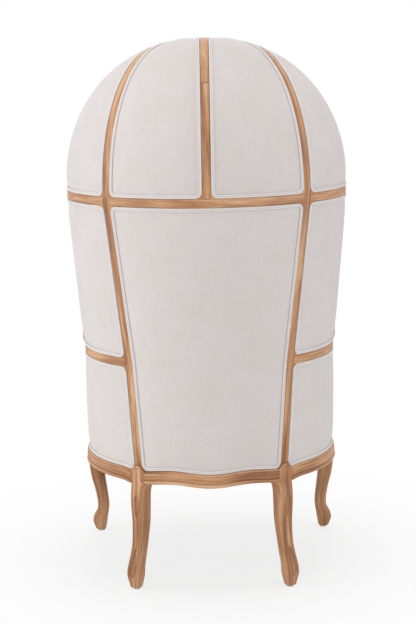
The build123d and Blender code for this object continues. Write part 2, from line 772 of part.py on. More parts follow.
def front_arc(half, y, z):
    """The bowed line of the front rail, at a place y at its ends."""
    return ThreePointArc((-half, y, z), (0, y - FRONT_RAIL_BOW, z), (half, y, z))


def bowed_bar(outside, inside, half, low):
    """A bar that is bowed forward in plan, up to the top of the rails."""
    face = Face(
        Wire(
            [
                front_arc(half, -outside, low),
                Line((half, -outside, low), (half, -inside, low)),
                front_arc(half, -inside, low),
                Line((-half, -inside, low), (-half, -outside, low)),
            ]
        )
    )
    return extrude(face, RAIL_TOP - low, dir=(0, 0, 1))


rail_front = arched_rail(
    bowed_bar(FRONT_RAIL_END, FRONT_RAIL_INSIDE, FRONT_RAIL_X, low_rail),
    bowed_bar(FRONT_RAIL_END + RAIL_BEAD, FRONT_RAIL_END, FRONT_RAIL_X, low_rail),
    fan_plane(0),
    -FRONT_RAIL_X,
    FRONT_RAIL_X,
    FRONT_RAIL_ARCH,
    -FAR,
    FAR,
)
tongue_x = FRONT_RAIL_X + RAIL_TENON_LENGTH / 2
tongue_y = (FRONT_RAIL_END + FRONT_RAIL_INSIDE) / 2
tongue_z = (tongue_low + tongue_high) / 2
front_tongue = Pos(tongue_x, -tongue_y, tongue_z) * Box(
    RAIL_TENON_LENGTH, TENON_THICKNESS, tongue_high - tongue_low
)
rail_front += front_tongue + both_sides(front_tongue)

rear_glide = glide(rear_foot)
front_glide = glide(front_foot)
rear_leg = rear_leg - back_tongue - side_tongue - rear_glide
front_leg = front_leg - side_front_tongue - front_tongue - front_glide
add_pair("leg_rear", rear_leg)
add_pair("leg_front", front_leg)
glides = [rear_glide, front_glide, both_sides(rear_glide), both_sides(front_glide)]
nodes["foot_glides"] = Compound(glides)


# Arms, each on a support that rises from the front leg
def arm_side_x(y):
    """Half the width across the wall's outer faces at arm height."""
    return ARM_RADIUS + ARM_FLARE * (y / HOOD_DEPTH) ** 2


SCROLL_Y = ARM_SCROLL - ARM_REACH
arm_bar = prism(
    SIDE_PLANE,
    [(ARM_REAR, ARM_FOOT), (ARM_REAR, ARM_TOP), (SCROLL_Y, ARM_TOP), (SCROLL_Y, ARM_FOOT)],
    SIDE_CUT,
    FAR,
)
scroll_face = SIDE_PLANE.offset(SIDE_CUT) * Pos(SCROLL_Y, ARM_TOP - ARM_SCROLL) * Circle(ARM_SCROLL)
arm_bar += extrude(scroll_face, FAR, dir=(1, 0, 0))
arm_middle = (ARM_REAR - ARM_REACH) / 2
arm_end = ARM_RADIUS + ARM_FLARE
arm_plan = Face(
    Wire(
        [
            Line((arm_side_x(ARM_REAR) - MEMBER_DEPTH, ARM_REAR), (arm_side_x(ARM_REAR), ARM_REAR)),
            ThreePointArc(
                (arm_side_x(ARM_REAR), ARM_REAR),
                (arm_side_x(arm_middle) + ARM_PROUD, arm_middle),
                (arm_end, -ARM_REACH),
            ),
            Line((arm_end, -ARM_REACH), (arm_end - ARM_WIDTH, -ARM_REACH)),
            Line((arm_end - ARM_WIDTH, -ARM_REACH), (arm_side_x(ARM_REAR) - MEMBER_DEPTH, ARM_REAR)),
        ]
    )
)
arm = largest(arm_bar & extrude(arm_plan, FAR, dir=(0, 0, 1)))
add_pair("arm", arm)

support_middle = (RAIL_TOP + ARM_FOOT) / 2
support_face = make_face(
    [
        Line((-SUPPORT_REAR, RAIL_TOP), (-SUPPORT_REAR, ARM_FOOT)),
        Line((-SUPPORT_REAR, ARM_FOOT), (-SUPPORT_REAR - SUPPORT_HEAD, ARM_FOOT)),
        Spline(
            (-SUPPORT_REAR - SUPPORT_HEAD, ARM_FOOT),
            (-SUPPORT_REAR - SUPPORT_WAIST, support_middle),
            (-SUPPORT_REAR - SUPPORT_FOOT, RAIL_TOP),
        ),
        Line((-SUPPORT_REAR - SUPPORT_FOOT, RAIL_TOP), (-SUPPORT_REAR, RAIL_TOP)),
    ]
)
support = wood_wall & extrude(SIDE_PLANE.offset(SIDE_CUT) * support_face, FAR, dir=(1, 0, 0))
add_pair("arm_support", largest(support - arm))

pad_rear = wing_y(ARM_TOP) - WING_FOOT_GAP
pad_y = pad_rear - ARM_PAD_LENGTH / 2
pad_x = (arm_side_x(pad_y) + ARM_PROUD + arm_end - ARM_WIDTH) / 2
pad = Pos(pad_x, pad_y, ARM_TOP + ARM_PAD_HEIGHT / 2) * Box(
    ARM_PAD_WIDTH, ARM_PAD_LENGTH, ARM_PAD_HEIGHT
)
pad = fillet(pad.edges().filter_by(Axis.Z), ARM_PAD_ROUND)
pad = fillet(pad.faces().sort_by(Axis.Z)[-1].edges(), ARM_PAD_ROUND)
add_pair("arm_pad", pad)


# Inside upholstery
lining_wall = wall_layer(LINING_FACE, LINING_INSIDE, BAND_FOOT)
lining_high = BAND_FOOT - SEAT_GAP
half_gap = SEAT_GAP / 2
back_half = beside_stile(DECK_TOP, lining_high, -half_gap)
nodes["lining_back"] = largest(lining_wall & back_half & both_sides(back_half) & behind_axis)

lining_front = -SUPPORT_REAR
under_arm = ARM_FOOT - SEAT_GAP
over_arm = ARM_TOP + SEAT_GAP
behind_arm = ARM_REAR + SEAT_GAP
lining_outline = make_face(
    [
        Line((FAR, DECK_TOP), (lining_front, DECK_TOP)),
        Line((lining_front, DECK_TOP), (lining_front, under_arm)),
        Line((lining_front, under_arm), (behind_arm, under_arm)),
        Line((behind_arm, under_arm), (behind_arm, over_arm)),
        Line((behind_arm, over_arm), (wing_y(over_arm, LINING_SET_BACK), over_arm)),
        wing_arc(over_arm, lining_high, LINING_SET_BACK),
        Line((wing_y(lining_high, LINING_SET_BACK), lining_high), (FAR, lining_high)),
        Line((FAR, lining_high), (FAR, DECK_TOP)),
    ]
)
lining_side = extrude(SIDE_PLANE.offset(SIDE_CUT) * lining_outline, FAR, dir=(1, 0, 0))
lining_side &= beside_stile(DECK_TOP, lining_high, half_gap)
add_pair("lining_side", largest(lining_wall & lining_side))

hood_front = LINING_SET_BACK - HOOD_DEPTH
hood_space = [(-FAR, hood_front), (FAR, hood_front), (FAR, FAR), (-FAR, FAR)]
left_half = [(half_gap, -FAR), (FAR, -FAR), (FAR, FAR), (half_gap, FAR)]
lining_hood = hood_layer(LINING_FACE, LINING_INSIDE, BAND_FOOT)
lining_hood &= prism(PLAN_PLANE, hood_space, 0, FAR)
add_pair("lining_hood", largest(lining_hood & prism(PLAN_PLANE, left_half, 0, FAR)))


# Seat
def seat_face(radius, front, z):
    """A plan that fills the seat: half a circle behind the axis, straight sides and a bowed front."""
    diagonal = radius * math.sin(math.pi / 4)
    return Face(
        Wire(
            [
                ThreePointArc((radius, 0, z), (diagonal, diagonal, z), (0, radius, z)),
                ThreePointArc((0, radius, z), (-diagonal, diagonal, z), (-radius, 0, z)),
                Line((-radius, 0, z), (-radius, -front, z)),
                front_arc(radius, -front, z),
                Line((radius, -front, z), (radius, 0, z)),
            ]
        )
    )


def seat_slab(radius, front, low, thickness):
    return extrude(seat_face(radius, front, low), thickness, dir=(0, 0, 1))


deck_radius = SEAT_RADIUS - MEMBER_DEPTH - 2 * SEAT_GAP
deck_front = FRONT_RAIL_END - DECK_SET_BACK
nodes["seat_deck"] = seat_slab(deck_radius, deck_front, DECK_FOOT, DECK_THICKNESS)

webs = []
for index in range(LONG_WEBS):
    x = (index - (LONG_WEBS - 1) / 2) * WEB_SPACING
    strap = Pos(x, 0, RAIL_TOP + WEB_THICKNESS / 2) * Box(WEB_WIDTH, FAR, WEB_THICKNESS)
    webs.append(largest(strap & seat_slab(deck_radius, deck_front, RAIL_TOP, WEB_THICKNESS)))
cross_low = RAIL_TOP + WEB_THICKNESS + SEAT_GAP
for index in range(CROSS_WEBS):
    y = (index - (CROSS_WEBS - 1) / 2) * WEB_SPACING
    strap = Pos(0, y, cross_low + WEB_THICKNESS / 2) * Box(FAR, WEB_WIDTH, WEB_THICKNESS)
    webs.append(largest(strap & seat_slab(deck_radius, deck_front, cross_low, WEB_THICKNESS)))
nodes["seat_webbing"] = Compound(webs)

inside_radius = SEAT_RADIUS - RAIL_INSIDE
nodes["dust_cover"] = seat_slab(
    inside_radius - DUST_COVER_GAP,
    FRONT_RAIL_INSIDE - DUST_COVER_GAP,
    RAIL_BOTTOM + DUST_COVER_RISE,
    DUST_COVER_THICKNESS,
)

# Corner blocks, each screwed to the two rails beside a leg
block_low = RAIL_TOP - BLOCK_HEIGHT
block_face_radius = REAR_LEG_RADIUS - LEG_BLOCK / 2
block_near = REAR_LEG_PLACE - BLOCK_WIDTH / 2
block_far = REAR_LEG_PLACE + BLOCK_WIDTH / 2
rear_block = prism(
    LEG_PLANE,
    [(block_near, block_low), (block_far, block_low), (block_far, RAIL_TOP), (block_near, RAIL_TOP)],
    SEAT_GAP - block_face_radius,
    BLOCK_REACH - block_face_radius,
)
block_space = seat_slab(
    inside_radius - SEAT_GAP,
    FRONT_RAIL_INSIDE - SEAT_GAP,
    block_low,
    BLOCK_HEIGHT,
)
rear_block &= block_space

block_y = FRONT_RAIL_INSIDE + FRONT_BLOCK_SINK
front_block = prism(
    PLAN_PLANE,
    [
        (inside_radius, FRONT_BLOCK_LEG - block_y),
        (inside_radius, -block_y),
        (inside_radius - FRONT_BLOCK_LEG, -block_y),
    ],
    block_low,
    RAIL_TOP,
)
front_block &= block_space


def screw(start, direction):
    """A countersunk screw's head and shank from a place, and the hole that it needs."""
    plane = Plane(origin=start, z_dir=direction)
    head = extrude(plane * Circle(SCREW_HEAD / 2), SCREW_HEAD_HEIGHT)
    shank = extrude(plane * Circle(SCREW_DIAMETER / 2), SCREW_LENGTH)
    access = extrude(plane * Circle(SCREW_HEAD / 2), -OVERRUN)
    return head + shank, head + shank + access


screw_high = RAIL_TOP - BLOCK_HEIGHT / 3
screw_low = RAIL_TOP - 2 * BLOCK_HEIGHT / 3
screw_radius = block_face_radius - BLOCK_REACH + SCREW_HEAD_HEIGHT
out_x, out_y = ray_point(1, LEG_TURN)
fixings = []
for side in (-1, 1):
    place = REAR_LEG_PLACE + side * SCREW_SPREAD
    start_x = place * out_y + screw_radius * out_x
    start_y = screw_radius * out_y - place * out_x
    fixings.append(screw((start_x, start_y, screw_high), (out_x, out_y, 0)))
hypotenuse = FRONT_BLOCK_LEG - block_y - inside_radius
side_screw_y = SCREW_SPREAD + SCREW_HEAD - block_y
side_screw_x = side_screw_y - hypotenuse + SCREW_HEAD
front_screw_x = inside_radius - SCREW_SPREAD
front_screw_y = front_screw_x + hypotenuse - SCREW_HEAD
fixings.append(screw((side_screw_x, side_screw_y, screw_high), (1, 0, 0)))
fixings.append(screw((front_screw_x, front_screw_y, screw_low), (0, -1, 0)))

screws = []
for fixing, hole in fixings:
    screws += [fixing, both_sides(fixing)]
    rear_block -= hole
    front_block -= hole
    rail_side -= hole
    rail_back = rail_back - hole - both_sides(hole)
    rail_front = rail_front - hole - both_sides(hole)
nodes["rail_back"] = rail_back
nodes["rail_front"] = rail_front
add_pair("rail_side", rail_side)
blocks = [rear_block, front_block, both_sides(rear_block), both_sides(front_block)]
nodes["corner_blocks"] = Compound(blocks)
nodes["corner_screws"] = Compound(screws)


# Loose seat cushion, with a piped seam round its top and bottom edges
cushion_radius = SEAT_RADIUS - LINING_INSIDE - CUSHION_GAP
cushion_front = FRONT_REACH - CUSHION_FRONT_SET_BACK - FRONT_RAIL_BOW
cushion_low = DECK_TOP + SEAT_GAP
seam_low = cushion_low + PIPING_INSET
seam_high = cushion_low + CUSHION_THICKNESS
seam_inset = PIPING_DIAMETER + SEAT_GAP


def cushion_section(inset, z):
    radius = cushion_radius - inset
    front = cushion_front - inset
    corner = max(CUSHION_CORNER - inset, CUSHION_CORNER / 3)
    face = seat_face(radius, front, z)
    return rounded(face, [(radius, -front), (-radius, -front)], corner)


profile = [
    (seam_inset + CUSHION_HEEL, cushion_low),
    (seam_inset, seam_low),
    (seam_inset + CUSHION_DRAW_IN, (seam_low + seam_high) / 2),
    (seam_inset, seam_high),
]
for rise_share, inset_share in CROWN_SHARES:
    inset = seam_inset + inset_share * cushion_radius
    profile.append((inset, seam_high + rise_share * CUSHION_CROWN))
sections = [cushion_section(inset, z) for inset, z in profile]
nodes["seat_cushion"] = loft(sections, ruled=True)

pipes = []
for seam in (seam_low, seam_high):
    path = cushion_section(PIPING_DIAMETER / 2, seam).faces()[0].outer_wire()
    start = Plane(origin=path @ 0, z_dir=path % 0)
    pipes.append(sweep(start * Circle(PIPING_DIAMETER / 2), path=path))
nodes["cushion_piping"] = Compound([largest(pipe) for pipe in pipes])


# Export
os.makedirs("parts", exist_ok=True)
for name, shape in nodes.items():
    export_step(Pos(0, AXIS_Y, 0) * shape, f"parts/{name}.step")
    print(name, round(shape.volume), len(shape.solids()))
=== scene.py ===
import zlib
from math import acos, asin, atan2, ceil, cos, exp, hypot, pi, radians, sin, sqrt, tan

import bmesh
import bpy
import numpy as np
from mathutils import Matrix, Vector, geometry


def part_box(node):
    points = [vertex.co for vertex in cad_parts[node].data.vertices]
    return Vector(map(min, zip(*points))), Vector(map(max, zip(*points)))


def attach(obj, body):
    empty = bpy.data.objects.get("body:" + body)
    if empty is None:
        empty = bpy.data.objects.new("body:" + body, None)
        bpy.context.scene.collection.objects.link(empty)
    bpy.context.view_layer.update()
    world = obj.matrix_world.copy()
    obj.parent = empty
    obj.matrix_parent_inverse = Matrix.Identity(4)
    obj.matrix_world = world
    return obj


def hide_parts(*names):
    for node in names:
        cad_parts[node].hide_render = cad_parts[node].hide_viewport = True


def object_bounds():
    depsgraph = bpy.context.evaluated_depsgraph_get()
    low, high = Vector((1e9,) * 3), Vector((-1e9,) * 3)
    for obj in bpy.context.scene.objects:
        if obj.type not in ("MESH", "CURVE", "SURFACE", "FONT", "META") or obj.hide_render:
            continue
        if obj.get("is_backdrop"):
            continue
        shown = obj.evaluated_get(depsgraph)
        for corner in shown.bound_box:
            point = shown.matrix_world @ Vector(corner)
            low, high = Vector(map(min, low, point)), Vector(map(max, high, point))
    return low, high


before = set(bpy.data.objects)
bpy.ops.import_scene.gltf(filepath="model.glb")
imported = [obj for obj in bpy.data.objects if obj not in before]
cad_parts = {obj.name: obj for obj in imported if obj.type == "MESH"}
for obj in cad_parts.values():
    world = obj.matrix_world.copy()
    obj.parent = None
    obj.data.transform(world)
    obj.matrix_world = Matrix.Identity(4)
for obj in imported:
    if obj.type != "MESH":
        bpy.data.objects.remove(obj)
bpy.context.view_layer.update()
scene = bpy.context.scene

# Metres. The wall and the hood are drawn round an upright axis at y = AXIS_Y; depth is measured inward
# from the wooden outer face. Left is the sitter's left (+X), and the right side is a mirror image.
AXIS_Y = -0.022
RAIL_LOW, RAIL_TOP = 0.302, 0.338
ARM_LOW, ARM_Z, ARM_TOP = 0.618, 0.630, 0.642
BAND_LOW, BAND_Z, BAND_TOP = 1.056, 1.068, 1.080
SPRING, RISE = 1.088, 0.405
R_SEAT, R_ARM, R_BAND = 0.349, 0.353, 0.391
FULLNESS, STRETCH, FLARE, HOOD_DEPTH = 2.12, 1.885, 0.020, 0.250
ARCH_FRONT, ARCH_REAR = -0.250, -0.222
HALF, FACE_DEPTH, GAP = 0.012, 0.028, 0.0003
CORNER = 0.018
SUPPORT_REAR = 0.242
DECK_FOOT, DECK_TOP = 0.3426, 0.3626
LINING_BACK, LINING_FACE = 0.0283, 0.0503
QUARTER = R_BAND * pi / 2
FOOT_ANGLE, HEAD_ANGLE = radians(34.5), radians(43)


def unit(v):
    return v / np.maximum(np.linalg.norm(v, axis=-1, keepdims=True), 1e-12)


def polar(radius, turn):
    """Plan of places at a radius and a turn from the rear."""
    return np.stack([radius * np.sin(turn), radius * np.cos(turn)], -1)


def ridge(distance, width):
    return np.exp(-(distance / width) ** 2)


def approach(distance, reach):
    """Rises from 0 toward 1 over a distance."""
    return 1 - np.exp(-distance / reach)


# Surfaces
def wall_shares(z):
    """How far up a height is from the seat rail to the arm, and from the arm to the band."""
    return np.clip((z - RAIL_LOW) / (ARM_Z - RAIL_LOW), 0, 1), np.clip((z - ARM_Z) / (BAND_LOW - ARM_Z), 0, 1)


def wall_radius(z):
    lower, upper = wall_shares(z)
    return R_SEAT + lower * (R_ARM - R_SEAT) + upper * (R_BAND - R_ARM)


def wall_at(place, depth):
    """Points of the wall: place is (length along the plan from the rear, height)."""
    s, z = place[..., 0], place[..., 1]
    lower, upper = wall_shares(z)
    phi = np.minimum(np.abs(s), QUARTER) / R_BAND
    ahead = np.maximum(np.abs(s) - QUARTER, 0)
    radius, band = wall_radius(z) - depth, R_BAND - depth
    x_arm = R_ARM - depth + FLARE * (ahead / HOOD_DEPTH) ** 2
    x_band = band * np.sqrt(1 - (ahead / (band * STRETCH)) ** 2)
    x_front = (1 - lower) * (R_SEAT - depth) + (lower - upper) * x_arm + upper * x_band
    x = np.where(ahead > 0, x_front, radius * np.sin(phi)) * np.where(s < 0, -1, 1)
    y = np.where(ahead > 0, -ahead, radius * np.cos(phi))
    return np.stack([x, y + AXIS_Y, z + 0 * x], -1)


def wall_place(points):
    x, y, z = points[..., 0], points[..., 1] - AXIS_Y, points[..., 2]
    s = np.where(y > 0, np.arctan2(np.abs(x), y) * R_BAND, QUARTER - y)
    return np.stack([s * np.where(x < 0, -1, 1), z], -1)


DOME_T = np.linspace(0, pi / 2, 600)
dome_x = R_BAND * np.cos(DOME_T) ** (2 / FULLNESS)
dome_z = RISE * np.sin(DOME_T) ** (2 / FULLNESS)
dome_run = np.concatenate([[0], np.cumsum(np.hypot(np.diff(dome_x), np.diff(dome_z)))])
RIM_RUN = dome_run[-1]
DOME_Q = RIM_RUN - dome_run


def hood_at(place, depth):
    """Points of the hood: place is a chart with the crown at its middle and the rear upward."""
    q = np.maximum(np.hypot(place[..., 0], place[..., 1]), 1e-9)
    t = np.interp(q, DOME_Q[::-1], DOME_T[::-1])
    rho = (R_BAND - depth) * np.cos(t) ** (2 / FULLNESS)
    z = SPRING + (RISE - depth) * np.sin(t) ** (2 / FULLNESS) - np.maximum(q - RIM_RUN, 0)
    x, y = rho * place[..., 0] / q, rho * place[..., 1] / q
    return np.stack([x, np.where(y < 0, y * STRETCH, y) + AXIS_Y, z], -1)


def hood_place(points):
    x, y = points[..., 0], points[..., 1] - AXIS_Y
    y = np.where(y < 0, y / STRETCH, y)
    up = points[..., 2] - SPRING
    rho = np.maximum(np.hypot(x, y), 1e-9)
    t = np.arctan2(np.sqrt((np.maximum(up, 0) / RISE) ** FULLNESS), np.sqrt((rho / R_BAND) ** FULLNESS))
    q = np.where(up > 0, np.interp(t, DOME_T, DOME_Q), RIM_RUN - up)
    return np.stack([q * x / rho, q * y / rho], -1)


class Surface:
    """A chart of places (u, v): at gives points for places and depths, place gives places for points."""

    def __init__(self, at, place):
        self.at, self.place = at, place

    def normal(self, place):
        e = 0.0008
        du = self.at(place + [e, 0], 0.0) - self.at(place - [e, 0], 0.0)
        dv = self.at(place + [0, e], 0.0) - self.at(place - [0, e], 0.0)
        n = unit(np.cross(du, dv))
        out = self.at(place, 0.0) - self.at(place, 0.004)
        return n * np.sign((n * out).sum(-1, keepdims=True))


def level_surface(height):
    """A level plane, whose depth is measured down from a height."""
    def at(place, depth):
        return np.stack(np.broadcast_arrays(place[..., 0], place[..., 1], height - depth), -1)
    return Surface(at, lambda points: points[..., :2].copy())


WALL = Surface(wall_at, wall_place)
HOOD = Surface(hood_at, hood_place)


# Lines on surfaces
def run_of(points):
    """Length along a line of points, from its first."""
    return np.concatenate([[0], np.cumsum(np.linalg.norm(np.diff(points, axis=0), axis=1))])


def closed(line):
    return np.concatenate([line, line[:1]])


def lifted(plan, z):
    """Points of a plan at a height."""
    return np.column_stack([plan, np.full(len(plan), z)])


def at_runs(points, runs):
    have = run_of(points)
    return np.stack([np.interp(runs, have, column) for column in points.T], -1)


def resampled(points, step=0.003, count=None, start=0.0, end=0.0):
    """The line at even steps, with its ends cut by given lengths."""
    last = run_of(points)[-1] - end
    count = count or max(2, int(ceil((last - start) / step)) + 1)
    return at_runs(points, np.linspace(start, last, count))


class Field:
    """A region of a surface with rounded corners, from edges that follow each other round it. Its squeeze
    keeps the rings inside it from crossing where it is narrow."""

    def __init__(self, surface, edges, radii):
        self.surface, self.corners = surface, []
        edges = [resampled(e, 0.002) for e in edges]
        arcs, cuts = [], []
        for before, after, radius in zip(edges, edges[1:] + edges[:1], radii):
            corner = before[-1]
            back = unit(at_runs(before, [run_of(before)[-1] - radius])[0] - corner)
            ahead = unit(at_runs(after, [radius])[0] - corner)
            half = acos(np.clip(back @ ahead, -1, 1)) / 2
            cuts.append(radius / tan(half))
            centre = corner + unit(back + ahead) * radius / sin(half)
            a, b = corner + back * cuts[-1] - centre, corner + ahead * cuts[-1] - centre
            turn = pi - 2 * half
            shares = np.linspace(0, 1, max(5, int(radius * turn / 0.0015)))
            arc = [centre + (a * sin((1 - k) * turn) + b * sin(k * turn)) / sin(turn) for k in shares]
            arcs.append(np.array(arc[1:-1]))
            if radius >= CORNER:
                away = -unit(back + ahead) * 0.0016
                side_a, side_b = away - (away @ back) * back, away - (away @ ahead) * ahead
                tip = corner + away / sin(half) ** 0.5
                self.corners.append(np.array([centre + b + side_b, tip, centre + a + side_a] + arc))
        parts = []
        for i, (edge, arc) in enumerate(zip(edges, arcs)):
            parts += [resampled(edge, start=cuts[i - 1], end=cuts[i]), arc]
        loop = resampled(closed(np.concatenate(parts)), 0.0028)[:-1]
        self.follow(loop)
        if ((loop.mean(0) - loop) * self.inward).sum(-1).mean() < 0:
            self.follow(loop[::-1])
        gap = np.linalg.norm(self.loop[:, None] - self.loop[None], axis=-1)
        gap = np.where(self.inward @ self.inward.T < -0.5, gap, 1.0).min(1)
        squeeze = np.clip((gap / 2 - 0.0006) / 0.0095, 0.05, 1)
        for _ in range(3):
            squeeze = (np.roll(squeeze, 1) + squeeze + np.roll(squeeze, -1)) / 3
        self.squeeze = squeeze[:, None]
        self.runs = run_of(closed(self.loop))[:-1]

    def follow(self, loop):
        place = self.surface.place(loop)
        self.loop = self.surface.at(place, 0.0)
        tangent = unit(np.roll(self.loop, -1, 0) - np.roll(self.loop, 1, 0))
        self.inward = np.cross(self.surface.normal(place), tangent)

    def inset(self, distance):
        return self.surface.place(self.loop + self.inward * self.squeeze * distance)


def inside(points, loop):
    """Which points of a plane lie inside a closed loop."""
    a, b = loop, np.roll(loop, -1, 0)
    x, y = points[:, :1], points[:, 1:2]
    crosses = (a[:, 1] > y) != (b[:, 1] > y)
    with np.errstate(divide="ignore", invalid="ignore"):
        at = a[:, 0] + (y - a[:, 1]) * (b[:, 0] - a[:, 0]) / (b[:, 1] - a[:, 1])
    return (crosses & (x < at)).sum(1) % 2 == 1


def distance_to(points, line, batch=2000):
    """Least distance of points from a line of points, by its segments."""
    along, nearest = np.diff(line, axis=0), []
    for start in range(0, len(points), batch):
        p = points[start:start + batch, None] - line[None, :-1]
        t = np.clip((p * along).sum(-1) / np.maximum((along * along).sum(-1), 1e-12), 0, 1)
        nearest.append(np.linalg.norm(p - t[..., None] * along, axis=-1).min(1))
    return np.concatenate(nearest)


# Meshes. A shape is (points, faces, texture places), with, if carved, the painted shade of its points: how
# much their wood colour is darkened in grooves and hollows, where shade falls.
materials = {}
EDGE_ANGLES = {"oak": 40, "jute": 40, "cambric": 40}
SOFT_EDGE_ANGLE = 70


def place_object(name, data):
    placed = bpy.data.objects.new(name, data)
    scene.collection.objects.link(placed)
    return placed


def outward_faces(verts, faces):
    """The faces turned so that the closed mesh's volume is positive."""
    fans = np.array([(f[0], f[i], f[i + 1]) for f in faces for i in range(1, len(f) - 1)])
    a, b, c = (verts[fans[:, i]] for i in range(3))
    return faces if (a * np.cross(b, c)).sum() > 0 else [tuple(reversed(f)) for f in faces]


def add_piece(name, node, shape, material, body="chair"):
    """A finished piece: a closed mesh that rides on a body and stands for its CAD node."""
    verts, faces, uv, *painted_shade = shape
    mesh = bpy.data.meshes.new(name)
    mesh.from_pydata(verts.tolist(), [], outward_faces(verts, faces))
    if uv is not None:
        shift = np.array([zlib.crc32(name.encode()) % 97, zlib.crc32(name[::-1].encode()) % 89]) * 0.137
        index = np.zeros(len(mesh.loops), np.int32)
        mesh.loops.foreach_get("vertex_index", index)
        places = (uv[index] + shift).astype(np.float32)
        mesh.uv_layers.new(name="UVMap").data.foreach_set("uv", places.ravel())
    # Painted shade: kept as a point attribute that darkens the oak in carved grooves and hollows.
    for values in painted_shade:
        mesh.attributes.new("painted_shade", "FLOAT", "POINT").data.foreach_set("value", values.astype(np.float32))
    mesh.validate()
    mesh.polygons.foreach_set("use_smooth", [True] * len(mesh.polygons))
    mesh.update()
    mesh.set_sharp_from_angle(angle=radians(EDGE_ANGLES.get(material, SOFT_EDGE_ANGLE)))
    mesh.materials.append(materials[material])
    piece = place_object(name, mesh)
    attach(piece, body)
    if node:
        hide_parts(node)
    return piece


def add_pair(name, node, shape, material, both=True):
    """A piece of the left side and its mirror image, or one piece in the middle."""
    if not both:
        return [add_piece(name, node, shape, material)]
    verts, *rest = shape
    return [add_piece(name + hand, node and node + hand, (verts * [sign, 1, 1], *rest), material)
            for hand, sign in (("_left", 1), ("_right", -1))]


def grid_faces(rows, columns, close_rows=False, close_columns=False):
    r = np.arange(rows if close_rows else rows - 1)
    c = np.arange(columns if close_columns else columns - 1)
    r, c = np.meshgrid(r, c, indexing="ij")
    r1, c1 = (r + 1) % rows, (c + 1) % columns
    quads = np.stack([r * columns + c, r * columns + c1, r1 * columns + c1, r1 * columns + c], -1)
    return [tuple(q) for q in quads.reshape(-1, 4).tolist()]


def bar_faces(rows, count):
    """Faces of a bar: rows run along it, round its section, and both its ends are closed."""
    first = tuple(i * count for i in range(rows))
    return grid_faces(rows, count, True) + [first, tuple(i + count - 1 for i in reversed(first))]


def texture_places(section, runs):
    """Texture places from the points of a section and the lengths along its rows."""
    return np.stack(np.broadcast_arrays(run_of(np.array(section))[:, None], runs), -1).reshape(-1, 2)


def panel_mesh(field, rings, front, back, spacing=0.007, sides=()):
    """A closed slab on a field: front and back give depths from the distance to the edge, and the sides are
    rows of points between the two rims."""
    surface, count = field.surface, len(field.loop)
    places = [field.inset(d) for d in rings]
    low, high = places[-1].min(0), places[-1].max(0)
    u, v = np.meshgrid(np.arange(low[0], high[0], spacing), np.arange(low[1], high[1], spacing * 0.866))
    u = u + (np.arange(len(u)) % 2)[:, None] * spacing / 2
    grid = np.stack([u.ravel(), v.ravel()], -1)
    grid = grid[inside(grid, places[-1])]
    far = distance_to(surface.at(grid, 0.0), closed(field.loop))
    keep = far > rings[-1] + spacing * 0.55
    points = np.concatenate(places + [grid[keep]])
    known = np.concatenate([np.repeat(rings, count), far[keep]])
    edges = [(first + i, first + (i + 1) % count)
             for first in range(0, len(rings) * count, count) for i in range(count)]
    coords, _, tris, origin, _, _ = geometry.delaunay_2d_cdt([Vector(p) for p in points], edges, [], 1, 1e-7)
    coords = np.array([tuple(c) for c in coords])
    known = np.array([known[o[0]] if o else rings[0] for o in origin])
    outer = {j: i for i, o in enumerate(origin) for j in o if j < count}
    rim = [outer[j] for j in range(count)]
    top = surface.at(coords, front(known, coords))
    bottom = surface.at(coords, back(known, coords) if callable(back) else back)
    total = len(coords)
    faces = [tuple(t) for t in tris] + [tuple(total + i for i in reversed(t)) for t in tris]
    x, y = coords[rim].T
    order = range(count) if (x * np.roll(y, -1) - np.roll(x, -1) * y).sum() > 0 else range(count)[::-1]
    rows = [[rim[i] for i in order]]
    rows += [[2 * total + number * count + i for i in order] for number in range(len(sides))]
    rows.append([total + i for i in rows[0]])
    for upper, lower in zip(rows, rows[1:]):
        faces += list(zip(upper, lower, lower[1:] + lower[:1], upper[1:] + upper[:1]))
    uv = np.concatenate([coords, coords] + [coords[rim]] * len(sides))
    return np.concatenate([top, bottom, *sides]), faces, uv


def cord_mesh(field, section):
    """A run of cord right round a field: its section is a closed outline of (distance in, depth)."""
    verts = np.concatenate([field.surface.at(field.inset(w), d) for w, d in section])
    return verts, grid_faces(len(section), len(field.loop), True, True), texture_places(section, field.runs)


def face_profile(rounding, crown):
    """A member's section as (share of the width, offset, depth), round from its inner left corner."""
    left = [(0, 0.0015, FACE_DEPTH), (0, 0, FACE_DEPTH - 0.0015)]
    left += [(0, rounding * (1 - cos(a)), crown + rounding * (1 - sin(a)))
             for a in np.linspace(0, pi / 2, 5)]
    top = [(k, 0, crown * abs(2 * k - 1) ** 2.4) for k in np.linspace(0.12, 0.88, 9)]
    return left + top + [(1, -offset, depth) for _, offset, depth in reversed(left)]


def member_mesh(surface, left, right, profile, step=0.005):
    """A wooden member between two edges on a surface, closed at both ends."""
    count = max(3, int(max(run_of(left)[-1], run_of(right)[-1]) / step) + 1)
    left, right = resampled(left, count=count), resampled(right, count=count)
    a, b = surface.place(left), surface.place(right)
    width = np.linalg.norm(left - right, axis=1)
    rows = []
    for share, offset, depth in profile:
        k = (share + offset / width)[:, None]
        rows.append(surface.at(a * (1 - k) + b * k, depth))
    section = [(share * width.mean() + offset, depth) for share, offset, depth in profile]
    uv = texture_places(section, run_of((left + right) / 2))
    return np.concatenate(rows), bar_faces(len(rows), count), uv


